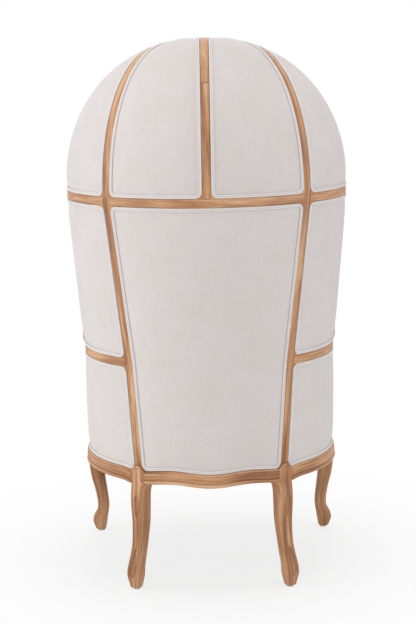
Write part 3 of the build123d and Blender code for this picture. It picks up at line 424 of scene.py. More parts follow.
# Lines of the frame
STILE_ANGLE = (FOOT_ANGLE + HEAD_ANGLE) / 2
STILE_FOOT = wall_radius(RAIL_TOP) * sin(FOOT_ANGLE - STILE_ANGLE)
STILE_LEAN = (R_BAND * sin(HEAD_ANGLE - STILE_ANGLE) - STILE_FOOT) / (BAND_Z - RAIL_TOP)
RIB_FOCUS = -0.300
RIB_ANGLE = atan2(R_BAND * sin(HEAD_ANGLE), R_BAND * cos(HEAD_ANGLE) - RIB_FOCUS)
WING_SET_BACK, WING_DROP = 0.140, BAND_TOP - ARM_TOP
WING_RADIUS = (WING_DROP ** 2 + WING_SET_BACK ** 2) / (2 * WING_SET_BACK)
WING_CENTRE = WING_RADIUS - HOOD_DEPTH


def stile_run(z, offset):
    """Place along the wall of a line beside the left stile."""
    x = STILE_FOOT + STILE_LEAN * (z - RAIL_TOP) + offset * hypot(1, STILE_LEAN)
    return (STILE_ANGLE + np.arcsin(x / wall_radius(z))) * R_BAND


def wing_y(z, offset=0.0):
    """Place y of the wing's curved front edge, or of a line behind it by an offset."""
    return WING_CENTRE - np.sqrt((WING_RADIUS - offset) ** 2 - (z - BAND_TOP) ** 2)


BACK_WAVE, BACK_WAVE_LENGTH, WAVE_END = 0.004, 0.206, 0.172
SIDE_RISE, SIDE_DIP, SIDE_DIP_RUN = 0.0012, 0.0055, 0.024
LEG_EDGE_RUN, FRONT_EDGE_RUN = radians(38.0) * R_BAND, QUARTER + 0.225


def rail_wave(s):
    """How far the seat rail's edges rise or dip at a place along the wall."""
    s = np.abs(s)
    x = R_SEAT * np.sin(s / R_BAND)
    back = -BACK_WAVE * np.cos(2 * pi * np.minimum(x, WAVE_END) / BACK_WAVE_LENGTH)
    near = np.minimum(s - LEG_EDGE_RUN, FRONT_EDGE_RUN - s)
    side = SIDE_RISE - SIDE_DIP * ridge(np.maximum(near, 0), SIDE_DIP_RUN)
    return np.where(s < FOOT_ANGLE * R_BAND, back, side)


def wall_line(s, z):
    return wall_at(np.stack(np.broadcast_arrays(s, z), -1), 0.0)


def level_line(start, end, z, count=300):
    return wall_line(np.linspace(start, end, count), z)


def up_stile(low, high, offset):
    z = np.linspace(low, high, 120)
    return wall_line(stile_run(z, offset), z)


def over_dome(plan, foot):
    """The line over the hood that has a plan, from its front to the rim, and on down to its foot."""
    rho = np.hypot(plan[:, 0], np.where(plan[:, 1] < 0, plan[:, 1] / STRETCH, plan[:, 1]))
    z = SPRING + RISE * np.maximum(1 - np.minimum(rho / R_BAND, 1) ** FULLNESS, 0) ** (1 / FULLNESS)
    z[-1] = SPRING
    down = np.linspace(SPRING, foot, 14)[1:]
    tail = np.column_stack([np.tile(plan[-1], (len(down), 1)), down])
    return np.concatenate([np.column_stack([plan, z]), tail]) + [0, AXIS_Y, 0]


def hood_line(angle, focus, offset, start, foot):
    """Over the hood beside an upright plane, by an offset, from a place y at its front down to its foot."""
    d = polar(1.0, angle)
    f = np.array([0.0, focus]) + offset * np.array([d[1], -d[0]])
    first = (start - f[1]) / d[1]
    b = f @ d
    last = -b + sqrt(b * b - f @ f + R_BAND ** 2)
    r = first + (last - first) * np.sin(np.linspace(0, pi / 2, 400))
    return over_dome(f + r[:, None] * d, foot)


def across_hood(y, foot, x_first=0.0):
    """Over the hood at one place y in front of the axis, from x_first out and down to its foot."""
    rim = R_BAND * sqrt(1 - (y / STRETCH / R_BAND) ** 2)
    x = x_first + (rim - x_first) * np.sin(np.linspace(0, pi / 2, 400))
    return over_dome(np.column_stack([x, np.full_like(x, y)]), foot)


def round_hood(start, end, z):
    """Round the hood's upright foot, from one point to another."""
    a, b = hood_place(start[None])[0], hood_place(end[None])[0]
    turn = np.linspace(atan2(*a), atan2(*b), 200)
    return hood_at(polar(RIM_RUN + SPRING - z, turn), 0.0)


# Materials
class Shader:
    """Builds the nodes of a material or of the world."""

    def __init__(self, owner, surface="Principled BSDF"):
        owner.use_nodes = True
        self.nodes, self.links = owner.node_tree.nodes, owner.node_tree.links
        self.surface = self.nodes[surface]

    def fill(self, node, inputs):
        for key, value in inputs.items():
            if isinstance(value, bpy.types.NodeSocket):
                self.links.new(value, node.inputs[key])
            else:
                node.inputs[key].default_value = value

    def add(self, kind, inputs=None, **settings):
        node = self.nodes.new("ShaderNode" + kind)
        for key, value in settings.items():
            setattr(node, key, value)
        self.fill(node, inputs or {})
        return node

    def place(self, source, scale=(1, 1, 1)):
        coords = self.add("TexCoord").outputs[source]
        return self.add("Mapping", {"Vector": coords, "Scale": scale}).outputs[0]

    def noise(self, vector, scale, detail=3.0, rough=0.55, distortion=0.0):
        return self.add("TexNoise", {
            "Vector": vector, "Scale": scale, "Detail": detail, "Roughness": rough,
            "Distortion": distortion}).outputs["Fac"]

    def ramp(self, value, stops):
        node = self.add("ValToRGB", {"Fac": value})
        ramp = node.color_ramp
        while len(ramp.elements) < len(stops):
            ramp.elements.new(0.5)
        for element, (at, colour) in zip(ramp.elements, stops):
            element.position, element.color = at, (*colour, 1)
        return node.outputs["Color"]

    def mix(self, factor, a, b, blend="MIX"):
        b = b if isinstance(b, bpy.types.NodeSocket) else (*b, 1)
        node = self.add("Mix", data_type="RGBA", blend_type=blend)
        self.fill(node, {0: factor, 6: a, 7: b})
        return node.outputs[2]

    def math(self, operation, a, b):
        return self.add("Math", {0: a, 1: b}, operation=operation).outputs[0]

    def bump(self, height, distance, strength=1.0, **below):
        inputs = {"Height": height, "Distance": distance, "Strength": strength, **below}
        return self.add("Bump", inputs).outputs[0]

    def seen(self):
        """1 for camera, glossy and transmission rays, 0 for the rays that carry light."""
        rays = self.add("LightPath").outputs
        mirrored = self.math("MAXIMUM", rays["Is Glossy Ray"], rays["Is Transmission Ray"])
        return self.math("MAXIMUM", rays["Is Camera Ray"], mirrored)


def new_material(name):
    materials[name] = bpy.data.materials.new(name)
    return Shader(materials[name])


def grey(level):
    return (level, level, level)


def oak(name, source="UV", along=1):
    """Dry pale oak: straight fibre, broad figure, short dark pores, a drift of tone between boards, and
    painted shade in carved grooves and hollows.
    """
    s = new_material(name)
    fibre, figure, pores = (
        s.noise(s.place(source, [share if axis == along else 1.0 for axis in range(3)]), *noise)
        for share, *noise in ((0.045, 300.0, 5.0, 0.6), (0.05, 52.0, 3.0, 0.5, 1.1), (0.04, 950.0, 2.0, 0.5)))
    drift = s.noise(s.place(source), 5.0, 2.0)
    blend = s.math("ADD", s.math("MULTIPLY", figure, 0.62), s.math("MULTIPLY", fibre, 0.38))
    wood = s.ramp(blend, [
        (0.36, (0.270, 0.104, 0.040)), (0.46, (0.470, 0.215, 0.092)),
        (0.55, (0.600, 0.318, 0.156)), (0.65, (0.745, 0.465, 0.265))])
    tone = s.ramp(drift, [(0.32, (0.78, 0.70, 0.64)), (0.50, grey(1.0)), (0.68, (1.10, 1.14, 1.20))])
    wood = s.mix(1.0, wood, tone, "MULTIPLY")
    wood = s.mix(s.ramp(pores, [(0.60, grey(0.0)), (0.70, grey(0.55))]), wood, (0.23, 0.105, 0.045))
    # Painted shade: the painted_shade attribute darkens the wood toward a deep brown in grooves and hollows,
    # where shade falls.
    painted_shade = s.add("Attribute", attribute_name="painted_shade").outputs["Fac"]
    wood = s.mix(s.math("MULTIPLY", painted_shade, 0.62), wood, (0.160, 0.068, 0.030))
    height = s.math("SUBTRACT", fibre, s.math("MULTIPLY", pores, 0.8))
    s.fill(s.surface, {"Base Color": wood, "Roughness": s.ramp(fibre, [(0.3, grey(0.42)), (0.7, grey(0.58))]),
                       "Normal": s.bump(height, 0.0004, 0.6)})


def linen(name, colour, source="UV", thread=0.0011):
    """Plain woven linen: slubs along both sets of threads, a fine weave, and a soft fuzz at its edges."""
    s = new_material(name)
    warp = s.noise(s.place(source, (1.0, 0.035, 1.0)), 620.0, 3.0, 0.6)
    weft = s.noise(s.place(source, (0.035, 1.0, 1.0)), 620.0, 3.0, 0.6)
    slubs = s.math("ADD", s.math("MULTIPLY", warp, 0.5), s.math("MULTIPLY", weft, 0.5))
    shade = s.ramp(slubs, [
        (0.36, tuple(c * 0.93 for c in colour)), (0.52, colour),
        (0.66, tuple(min(c * 1.045, 0.86) for c in colour))])
    tint = s.ramp(s.noise(s.place(source), 9.0), [(0.35, (0.985, 0.975, 0.97)), (0.65, (1.01, 1.01, 1.015))])
    over, under = (s.add("TexWave", {"Vector": s.place(source), "Scale": 2 * pi / thread / 20},
                         bands_direction=axis).outputs["Fac"] for axis in "XY")
    weave = s.math("MAXIMUM", over, under)
    s.fill(s.surface, {"Base Color": s.mix(1.0, shade, tint, "MULTIPLY"), "Roughness": 0.88,
                       "Normal": s.bump(weave, 0.00018, 0.35, Normal=s.bump(slubs, 0.0006, 0.5)),
                       "Sheen Weight": 0.22, "Sheen Roughness": 0.55})


def plain(name, scale, detail, low, high, roughness, depth, start=0.3, stretch=1, metallic=0.0):
    """A plain material of two mottled tones, drawn out upward by a stretch."""
    s = new_material(name)
    fleck = s.noise(s.place("Object", (1, 1, stretch)), scale, detail)
    s.fill(s.surface, {"Base Color": s.ramp(fleck, [(start, low), (1 - start, high)]), "Roughness": roughness,
                       "Normal": s.bump(fleck, depth), "Metallic": metallic})


LINEN = (0.735, 0.675, 0.655)
oak("oak")
oak("oak_y", "Object", 1)
oak("oak_z", "Object", 2)
linen("outside_linen", LINEN)
linen("inside_linen", LINEN)
linen("cushion_linen", (0.745, 0.685, 0.665), "Object")
# The cord and piping linen is paler than the panels': a painted highlight standing in for the light that its
# round profile catches.
linen("double_cord", (0.80, 0.765, 0.75), "UV", 0.0009)
plain("jute", 240.0, 4.0, (0.16, 0.10, 0.05), (0.34, 0.25, 0.14), 0.95, 0.001, start=0.35)
plain("cambric", 500.0, 2.0, grey(0.018), (0.035, 0.035, 0.036), 0.95, 0.0003)
plain("beech", 220.0, 4.0, (0.42, 0.28, 0.16), (0.62, 0.46, 0.30), 0.7, 0.0005, stretch=0.05)
plain("nylon", 160.0, 3.0, (0.62, 0.61, 0.57), (0.74, 0.73, 0.69), 0.5, 0.0002)
plain("zinc", 700.0, 2.0, (0.48, 0.47, 0.44), (0.66, 0.65, 0.62), 0.35, 0.0001, metallic=1.0)


# Wooden frame of the wall and hood
WOOD, FRONT_WOOD = face_profile(0.0020, 0.0012), face_profile(0.0035, 0.0012)
SIDES = (-HALF, HALF)


def member(name, node, surface, edges, profile=WOOD, both=True):
    add_pair(name, node, member_mesh(surface, *edges, profile), "oak", both)


member("rear_stile", "stile_rear", WALL, [up_stile(RAIL_TOP, BAND_TOP, side) for side in SIDES])
ends = [(stile_run(z, -HALF), z) for z in (BAND_LOW, BAND_TOP)]
member("back_band", "band_back", WALL, [level_line(-end, end, z, 200) for end, z in ends], both=False)
for name, node, front, levels in (
        ("side_band", "band_side", QUARTER - ARCH_REAR, (BAND_LOW, BAND_TOP)),
        ("arm_rail", "arm_rail", QUARTER - wing_y(ARM_TOP, FACE_DEPTH), (ARM_LOW, ARM_TOP))):
    member(name, node, WALL, [level_line(stile_run(z, HALF), front, z) for z in levels])
rise = np.linspace(ARM_TOP, BAND_TOP, 200)
member("wing_stile", "wing_stile", WALL,
       [wall_line(QUARTER - wing_y(rise, offset), rise) for offset in (FACE_DEPTH, 0)], FRONT_WOOD)
member("front_arch", "hood_arch", HOOD,
       [across_hood(y, BAND_TOP) for y in (ARCH_REAR, ARCH_FRONT)], FRONT_WOOD)
member("side_rib", "rib", HOOD,
       [hood_line(RIB_ANGLE, RIB_FOCUS, side, ARCH_REAR, BAND_TOP) for side in SIDES])
centre = [hood_line(0.0, 0.0, side, ARCH_REAR, BAND_TOP) for side in SIDES]
joint = int(np.argmax(centre[0][:, 2] - SPRING < centre[0][:, 1] - AXIS_Y))
member("centre_rib_lower", "rib_centre_lower", HOOD, [line[joint:] for line in centre], both=False)
member("centre_rib_upper", "rib_centre_upper", HOOD, [line[:joint] for line in centre], both=False)


# Outside panels and double cord
def bead(middle, radius, first, last):
    return [(middle - radius * cos(a), 0.0010 - radius * sin(a))
            for a in np.radians(np.linspace(first, last, 8))]


CORD = (bead(0.00250, 0.00235, -35, 160) + [(0.00492, 0.0012)] +
        bead(0.00725, 0.00205, 20, 215) + [(0.0082, 0.0029), (0.0018, 0.0029)])
PANEL_RINGS = [0.0, 0.004, 0.0075, 0.0092, 0.0105, 0.0125, 0.0155]
PANEL_THICK = 0.013
WEB_OUT, WEB_IN = 0.0009, 0.026
EDGE, PANEL_HIGH = HALF + GAP, BAND_LOW - GAP
ROOF_FOOT = BAND_TOP + GAP


def panel_front(known, coords):
    free = np.maximum(known - 0.0088, 0)
    return np.where(known < 0.0085, 0.0034, 0.0030 - 0.0048 * approach(free, 0.022))


def back_edges():
    low = RAIL_TOP + GAP
    up = up_stile(low, PANEL_HIGH, -EDGE)
    foot_end, top_end = stile_run(low, -EDGE), stile_run(PANEL_HIGH, -EDGE)
    foot = np.linspace(-foot_end, foot_end, 200)
    return [wall_line(foot, low + rail_wave(foot)), up,
            level_line(top_end, -top_end, PANEL_HIGH, 200), (up * [-1, 1, 1])[::-1]]


def side_lower_edges():
    low, high, front = RAIL_TOP + GAP, ARM_LOW - GAP, QUARTER + SUPPORT_REAR - GAP
    foot = np.linspace(front, stile_run(low, EDGE), 300)
    return [up_stile(low, high, EDGE), level_line(stile_run(high, EDGE), front, high),
            wall_line(front, np.linspace(high, low, 100)), wall_line(foot, low + rail_wave(foot))]


def side_upper_edges():
    low, high = ARM_TOP + GAP, PANEL_HIGH
    fall = np.linspace(high, low, 160)
    front = QUARTER - wing_y(fall, FACE_DEPTH + GAP)
    return [up_stile(low, high, EDGE), level_line(stile_run(high, EDGE), front[0], high),
            wall_line(front, fall), level_line(front[-1], stile_run(low, EDGE), low)]


def hood_rear_edges():
    tip = (0.010 + EDGE * (1 + 1 / cos(RIB_ANGLE))) / tan(RIB_ANGLE) + RIB_FOCUS
    tip = max(tip, ARCH_REAR + GAP)
    centre = hood_line(0.0, 0.0, EDGE, tip, ROOF_FOOT)
    rib = hood_line(RIB_ANGLE, RIB_FOCUS, -EDGE, tip, ROOF_FOOT)
    return [centre, round_hood(centre[-1], rib[-1], ROOF_FOOT), rib[::-1], np.linspace(rib[0], centre[0], 12)]


def hood_side_edges():
    rib = hood_line(RIB_ANGLE, RIB_FOCUS, EDGE, ARCH_REAR + GAP, ROOF_FOOT)
    front = across_hood(ARCH_REAR + GAP, ROOF_FOOT, rib[0, 0])
    return [rib, round_hood(rib[-1], front[-1], ROOF_FOOT), front[::-1]]


def corner_webs(field):
    """The wood that fills the frame's corners outside a panel's rounded ones."""
    verts, faces, uv = [], [], []
    for outline in field.corners:
        place = field.surface.place(outline)
        count, first = len(place), sum(len(v) for v in verts)
        verts += [field.surface.at(place, WEB_OUT), field.surface.at(place, WEB_IN)]
        uv += [place, place]
        fan = [(1, i, i + 1) for i in range(3, count - 1)] + [(1, 2, 3), (1, count - 1, 0)]
        faces += [tuple(first + i for i in f) for f in fan]
        faces += [tuple(first + count + i for i in reversed(f)) for f in fan]
        rim = [first + i for i in range(count)]
        faces += [(b, a, count + a, count + b) for a, b in zip(rim, rim[1:] + rim[:1])]
    return np.concatenate(verts), faces, np.concatenate(uv)


def upholster(name, node, surface, edges, radii, both=True):
    field = Field(surface, edges, radii)
    add_pair(name + "_corner_wood", None, corner_webs(field), "oak", both)
    panel = panel_mesh(field, PANEL_RINGS, panel_front, PANEL_THICK)
    for piece in add_pair(name + "_panel", "panel_" + node, panel, "outside_linen", both):
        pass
    add_pair(name + "_cord", "cord_" + node, cord_mesh(field, CORD), "double_cord", both)


upholster("back", "back", WALL, back_edges(), [CORNER] * 4, both=False)
upholster("lower_side", "side_lower", WALL, side_lower_edges(), [CORNER] * 4)
upholster("upper_side", "side_upper", WALL, side_upper_edges(), [CORNER] * 4)
upholster("rear_hood", "hood_rear", HOOD, hood_rear_edges(), [CORNER, CORNER, 0.003, 0.003])
upholster("side_hood", "hood_side", HOOD, hood_side_edges(), [CORNER, CORNER, 0.008])

# Seat rails, with a moulded outer face
RAIL_OUT, RAIL_IN, BEAD, BEAD_HEIGHT = 0.005, 0.037, 0.003, 0.009
RAIL_COUNT, RAIL_HEIGHT = 200, RAIL_TOP - RAIL_LOW
FRONT_BOW, FRONT_END, FRONT_HALF = 0.0487, 0.2953, 0.315
BOW_RADIUS = (FRONT_HALF ** 2 + FRONT_BOW ** 2) / (2 * FRONT_BOW)
LEG_BLOCK, LEG_TURN = 0.044, radians(40.0)
REAR_LEG = polar(R_SEAT + 0.008 - LEG_BLOCK / 2, FOOT_ANGLE)
REAR_PLACE = REAR_LEG[0] * cos(LEG_TURN) - REAR_LEG[1] * sin(LEG_TURN)
FRONT_LEG = np.array([R_SEAT + RAIL_OUT + 0.005 - LEG_BLOCK / 2, -0.275])
FRONT_BLOCK_REAR = FRONT_LEG[1] + LEG_BLOCK / 2


def rail_outline():
    """The rail's section as (distance out, share of the height, height above that, painted shade), from
    inside round by the foot to the top. The painted shade darkens the groove above the bead, a groove line
    near the top, and the top beside the cord, where shade falls."""
    face, swell = RAIL_OUT, BEAD + 0.0006
    points = [(-RAIL_IN, 0, 0.0015, 0), (-RAIL_IN + 0.0015, 0, 0, 0)]
    points += [(face + swell * cos(a) - 0.0006, 0, BEAD_HEIGHT / 2 * (1 + 0.98 * sin(a)), 0)
               for a in np.radians(np.linspace(-80, 70, 10))]
    # Painted shade in the groove above the bead.
    points += [(face - 0.0010, 0, BEAD_HEIGHT + 0.0006, 1), (face - 0.0014, 0, BEAD_HEIGHT + 0.0016, 1),
               (face - 0.0004, 0, BEAD_HEIGHT + 0.0030, 0.2)]
    points += [(face + 0.0016 * (1 - (2 * k - 1) ** 2), k, (1 - k) * (BEAD_HEIGHT + 0.003) - k * 0.0070, 0)
               for k in np.linspace(0.1, 0.9, 7)]
    # Painted shade in the groove line near the top.
    points += [(face - 0.0002, 1, -0.0068, 0.1), (face - 0.0012, 1, -0.0058, 0.9), (face, 1, -0.0048, 0.1)]
    points += [(face - 0.0026 * (1 - cos(a)), 1, -0.0026 * (1 - sin(a)), 0)
               for a in np.radians(np.linspace(0, 90, 6))]
    # Painted shadow of the cord along the rail's top.
    return points + [(face - 0.0060, 1, 0, 0.9), (-RAIL_IN + 0.0015, 1, 0, 0), (-RAIL_IN, 1, -0.0015, 0)]


def rail_mesh(plan, span, wave):
    """A rail: plan(share, distance out) gives its places, span(distance out) the range of shares."""
    rows, runs, painted_shades = [], [], []
    for out, share, up, painted_shade in rail_outline():
        k = np.linspace(*span(out), RAIL_COUNT)
        xy = plan(k, out)
        rows.append(np.column_stack([xy, RAIL_LOW + wave(k) + share * RAIL_HEIGHT + up]))
        runs.append(run_of(xy))
        painted_shades.append(np.full(RAIL_COUNT, float(painted_shade)))
    section = [(out, share * RAIL_HEIGHT + up) for out, share, up, _ in rail_outline()]
    return (np.concatenate(rows), bar_faces(len(rows), RAIL_COUNT), texture_places(section, np.array(runs)),
            np.concatenate(painted_shades))


def wall_plan(s, out):
    run = np.abs(s)
    phi, radius = np.minimum(run, QUARTER) / R_BAND, R_SEAT + out
    x = np.where(run > QUARTER, radius, radius * np.sin(phi)) * np.where(s < 0, -1, 1)
    y = np.where(run > QUARTER, QUARTER - run, radius * np.cos(phi))
    return np.column_stack([x, y + AXIS_Y])


def front_plan(k, out):
    x = k * FRONT_HALF
    y = BOW_RADIUS - FRONT_BOW - np.sqrt(BOW_RADIUS ** 2 - x ** 2)
    return np.column_stack([x, y - FRONT_END - (out - RAIL_OUT) + AXIS_Y])


def front_wave(k):
    return 0.0015 - 0.0055 * k ** 8


def leg_side_run(out, side):
    """Place along the wall where the rear leg's block begins, on its near or far side."""
    return R_BAND * (LEG_TURN + asin((REAR_PLACE + side * LEG_BLOCK / 2) / (R_SEAT + out)))


def back_span(out):
    return -leg_side_run(out, -1), leg_side_run(out, -1)


def side_span(out):
    return leg_side_run(out, 1), QUARTER - FRONT_BLOCK_REAR


add_pair("back_rail", "rail_back", rail_mesh(wall_plan, back_span, rail_wave), "oak", both=False)
add_pair("side_rail", "rail_side", rail_mesh(wall_plan, side_span, rail_wave), "oak")
front = rail_mesh(front_plan, lambda out: (-1, 1), front_wave)
add_pair("front_rail", "rail_front", front, "oak", both=False)


# Legs: rounded squares that follow a curve, with carved outer faces
REAR_LEG_SHARES = [
    (1.0, 0.0, 0.97), (0.90, 0.15, 0.93), (0.79, 0.19, 0.92), (0.62, 0.18, 0.85), (0.43, 0.38, 0.76),
    (0.315, 0.62, 0.775), (0.20, 0.93, 0.82), (0.13, 0.97, 0.81), (0.07, 0.98, 0.71), (0.0, 1.0, 0.56)]
FRONT_LEG_SHARES = [
    (1.0, 0.3, 1.0), (0.87, 1.0, 1.09), (0.70, 1.0, 1.0), (0.55, 0.69, 0.88), (0.425, 0.08, 0.76),
    (0.29, -0.35, 0.73), (0.21, -0.19, 0.77), (0.125, 0.46, 0.95), (0.085, 0.52, 0.92), (0.0, 0.35, 0.60)]
GLIDE, ROUNDING, POINTS_A_SIDE = 0.004, 0.0045, 30
EDGE_BEAD, EDGE_GROOVE = 0.0030, 0.0062
LEAF_Z, LEAF_REACH, LEAF_HALF = 0.236, 0.034, 0.0088
TOE_FIELD_LOW, TOE_FIELD_TOP, TOE_FIELD_HALF = 0.032, 0.120, 0.0096
FULL_CARVING_HALF = 0.004
SCROLL_SWELL, SCROLL_Z, SCROLL_REACH = 0.0026, 0.038, 0.017
TOE_HEIGHT, TOE_ROUNDING, FLARE_DROP = 0.006, 0.0022, 0.024
CAP_REACH, CAP_EDGE = 0.0022, 0.0012


def between_shares(table, height):
    """Sweep and girth shares at a height share, as a smooth curve through the table's rows."""
    last = len(table) - 1
    row = 0
    while row < last - 1 and height < table[row + 1][0]:
        row += 1
    before, start, end, after = (np.array(table[min(max(row + step, 0), last)]) for step in (-1, 0, 1, 2))
    run = end[0] - start[0]
    t = (height - start[0]) / run
    slope_in = (end - before) / (end[0] - before[0]) * run
    slope_out = (after - start) / (after[0] - start[0]) * run
    return ((2 * t ** 3 - 3 * t ** 2 + 1) * start + (t ** 3 - 2 * t ** 2 + t) * slope_in +
            (3 * t ** 2 - 2 * t ** 3) * end + (t ** 3 - t ** 2) * slope_out)[1:]


def carving(w, half, z, top):
    """Relief of a leg's outer face, and its painted shade, darker in the grooves, round the leaf and in the
    sunk field, where shade falls: a bead along the edges, a leaf at the knee and an arched sunk field at the
    toe."""
    edge = np.minimum(half - np.abs(w), np.maximum(top - z, 0))
    relief = 0.0010 * ridge(edge - EDGE_BEAD, 0.0014) - 0.0014 * ridge(edge - EDGE_GROOVE, 0.0010)
    relief = relief - 0.0006 * np.clip((edge - EDGE_GROOVE) / 0.002, 0, 1)
    # Painted shade in the groove inside the edge bead.
    painted_shade = ridge(edge - EDGE_GROOVE, 0.0009)
    leaf = LEAF_HALF * max(1 - ((z - LEAF_Z) / LEAF_REACH) ** 2, 0) ** 0.8
    if leaf > 0.0006:
        fade, off = min(1.0, leaf / FULL_CARVING_HALF), np.abs(w) - leaf
        relief = relief + fade * (0.0020 * ridge(off, 0.0012) - 0.0014 * ridge(off + 0.0027, 0.0010))
        vein = 0.0022 * (1 - (w / leaf) ** 2) - 0.0013 * ridge(w, 0.0009)
        relief = relief + fade * np.where(off < 0, vein, 0)
        # Painted shade round the leaf and along its vein.
        painted_shade = painted_shade + fade * (ridge(off + 0.0024, 0.0010) + 0.6 * ridge(off - 0.0020, 0.0008))
        painted_shade = painted_shade + fade * 0.7 * np.where(off < 0, ridge(w, 0.0007), 0)
    sunk = TOE_FIELD_HALF * (np.clip((TOE_FIELD_TOP - z) / 0.062, 0, 1) ** 0.6 *
                             np.clip((z - TOE_FIELD_LOW) / 0.016, 0, 1) ** 0.5)
    if sunk > 0.0008:
        fade, off = min(1.0, sunk / FULL_CARVING_HALF), np.abs(w) - sunk
        relief = relief + fade * (0.0020 * ridge(off, 0.0012) - np.where(off < 0, 0.0020, 0))
        # Painted shade round and within the sunk field.
        painted_shade = painted_shade + fade * (ridge(off + 0.0017, 0.0010) + 0.6 * np.where(off < -0.001, 1.0, 0.0))
    return relief, np.clip(painted_shade, 0, 1)


def leg_ring(half, carved, z, top):
    """A rounded square, carved on some of its faces 0 to 3, which look out, aside, in and aside."""
    u = np.linspace(-1, 1, POINTS_A_SIDE, endpoint=False)
    ring, painted_shades = [], []
    for face in range(4):
        p = np.column_stack([np.full(len(u), half), u * half])
        q = np.clip(p, ROUNDING - half, half - ROUNDING)
        away = unit(p - q)
        swell, painted_shade = 0.0007 * (1 - u ** 2), np.zeros(len(u))
        if face in carved:
            swell, painted_shade = carving(u * half, half, z, top(u) if face == 0 else RAIL_TOP + 0.02)
        x, y = (q + away * ROUNDING + away * swell[:, None]).T
        c, s = cos(face * pi / 2), sin(face * pi / 2)
        ring.append(np.column_stack([x * c - y * s, x * s + y * c]))
        painted_shades.append(painted_shade)
    return np.concatenate(ring), np.concatenate(painted_shades)


def cap_height(u):
    """Top of the rear leg's arched cap at a share of its half width."""
    return RAIL_TOP + 0.0100 - 0.0185 * (1 - np.sqrt(np.clip(1 - u ** 2, 0, 1)))


def level_height(u):
    return RAIL_TOP + 0 * u


def leg_mesh(point, turn, table, sweep, carved, flare=0.0, cap=False):
    """A leg from its glide to the top of its block; with a cap, its outer side rises in an arch."""
    out = polar(1.0, turn)
    side = np.array([-out[1], out[0]])
    top = cap_height if cap else level_height
    levels = np.concatenate([np.arange(GLIDE, RAIL_LOW - 0.001, 0.0022), np.linspace(RAIL_LOW, RAIL_TOP, 20)])
    rings, heights, painted_shades = [], [], []
    for z in levels:
        away, girth = between_shares(table, min(1.0, (z - GLIDE) / (RAIL_LOW - GLIDE)))
        girth = girth + (1 - girth) * np.clip((z - RAIL_LOW) / 0.004, 0, 1)
        toe = np.clip((z - GLIDE) / TOE_HEIGHT, 0, 1)
        half = girth * LEG_BLOCK / 2 - TOE_ROUNDING * (1 - sqrt(1 - (1 - toe) ** 2))
        climb = np.clip((z - RAIL_LOW) / RAIL_HEIGHT, 0, 1) ** 2
        smooth, _ = leg_ring(half, (), z, top)
        u, outer = np.clip(smooth[:, 1] / half, -1, 1), smooth[:, 0] > 0.3 * half
        heights.append(z + np.where(outer, (top(u) - RAIL_TOP) * climb, 0))
        ring, painted_shade = leg_ring(half, carved, z, lambda u: top(u) - (top(u) - RAIL_TOP) * climb)
        ring[:, 0] += SCROLL_SWELL * ridge(z - SCROLL_Z, SCROLL_REACH) * np.clip(ring[:, 0] / half, 0, 1)
        spread = flare * max(0.0, (z - RAIL_LOW + FLARE_DROP) / FLARE_DROP) ** 2.6 * (z < RAIL_LOW + 0.001)
        ring[:, 1] += spread * np.clip(ring[:, 1] / half, 0, 1)
        rings.append(point + away * sweep + ring[:, :1] * out + ring[:, 1:] * side)
        painted_shades.append(painted_shade)
    count = len(rings[-1])
    if cap:
        depth, across = (rings[-1] - point) @ out, (rings[-1] - point) @ side
        wall = np.sqrt((R_SEAT + CAP_REACH) ** 2 - (point @ side + across) ** 2) - point @ out
        u = np.clip(across / (LEG_BLOCK / 2), -1, 1)
        for rise in (0.02, 0.5, 1.0):
            back = np.maximum(depth - np.where(depth < wall, 0, CAP_REACH * rise ** 2), wall)
            rings.append(point + back[:, None] * out + across[:, None] * side)
            heights.append(top(u) + CAP_EDGE * rise)
            painted_shades.append(np.zeros(count))
    verts = np.column_stack([np.concatenate(rings), np.concatenate(heights)]) + [0, AXIS_Y, 0]
    last = (len(rings) - 1) * count
    ends = [tuple(range(count)), tuple(last + i for i in reversed(range(count)))]
    uv = np.column_stack([np.tile(np.linspace(0, 4 * LEG_BLOCK, count), len(rings)), verts[:, 2]])
    return verts, grid_faces(len(rings), count, False, True) + ends, uv, np.concatenate(painted_shades)


REAR_SWEEP, FRONT_SWEEP = polar(0.023, radians(69.0)), 0.013 * np.array([1.0, -1.0])
rear = leg_mesh(REAR_LEG, LEG_TURN, REAR_LEG_SHARES, REAR_SWEEP, (0,), flare=0.012, cap=True)
add_pair("rear_leg", "leg_rear", rear, "oak")
add_pair("front_leg", "leg_front", leg_mesh(FRONT_LEG, pi, FRONT_LEG_SHARES, FRONT_SWEEP, (0, 1)), "oak")


def bevelled(node, material, width, segments=2):
    """A CAD piece that keeps its shape, with its edges eased."""
    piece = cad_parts[node]
    piece.modifiers.new("weld", "WELD").merge_threshold = 0.00002
    ease = piece.modifiers.new("ease", "BEVEL")
    ease.width, ease.segments, ease.limit_method = width, segments, "ANGLE"
    ease.angle_limit = radians(35)
    ease.use_clamp_overlap = True
    piece.data.materials.clear()
    piece.data.materials.append(materials[material])
    piece.data.polygons.foreach_set("use_smooth", [True] * len(piece.data.polygons))
    piece.modifiers.new("normals", "WEIGHTED_NORMAL").keep_sharp = True


for hand in ("left", "right"):
    bevelled("arm_" + hand, "oak_y", 0.003, 3)
    bevelled("arm_support_" + hand, "oak_z", 0.003, 3)
bevelled("corner_blocks", "beech", 0.001)
bevelled("corner_screws", "zinc", 0.0003)
bevelled("foot_glides", "nylon", 0.0006)


# Inside upholstery: padded patches with rolled edges, between rows and columns of places
SEAM = 0.00015
LOW, HIGH = DECK_TOP + GAP, BAND_LOW - GAP
SIDE_FOOT = ARM_LOW + SEAM
ROLL_RADIUS, ROLL_DROP = 0.013, 0.019


def eased(count, near=5, first=0.02):
    """Shares from 0 to 1, closer together at both ends."""
    ends = first * (1 - np.cos(np.linspace(0, pi / 2, near + 1)))[:-1]
    return np.concatenate([ends, first + (1 - 2 * first) * np.linspace(0, 1, count), 1 - ends[::-1]])


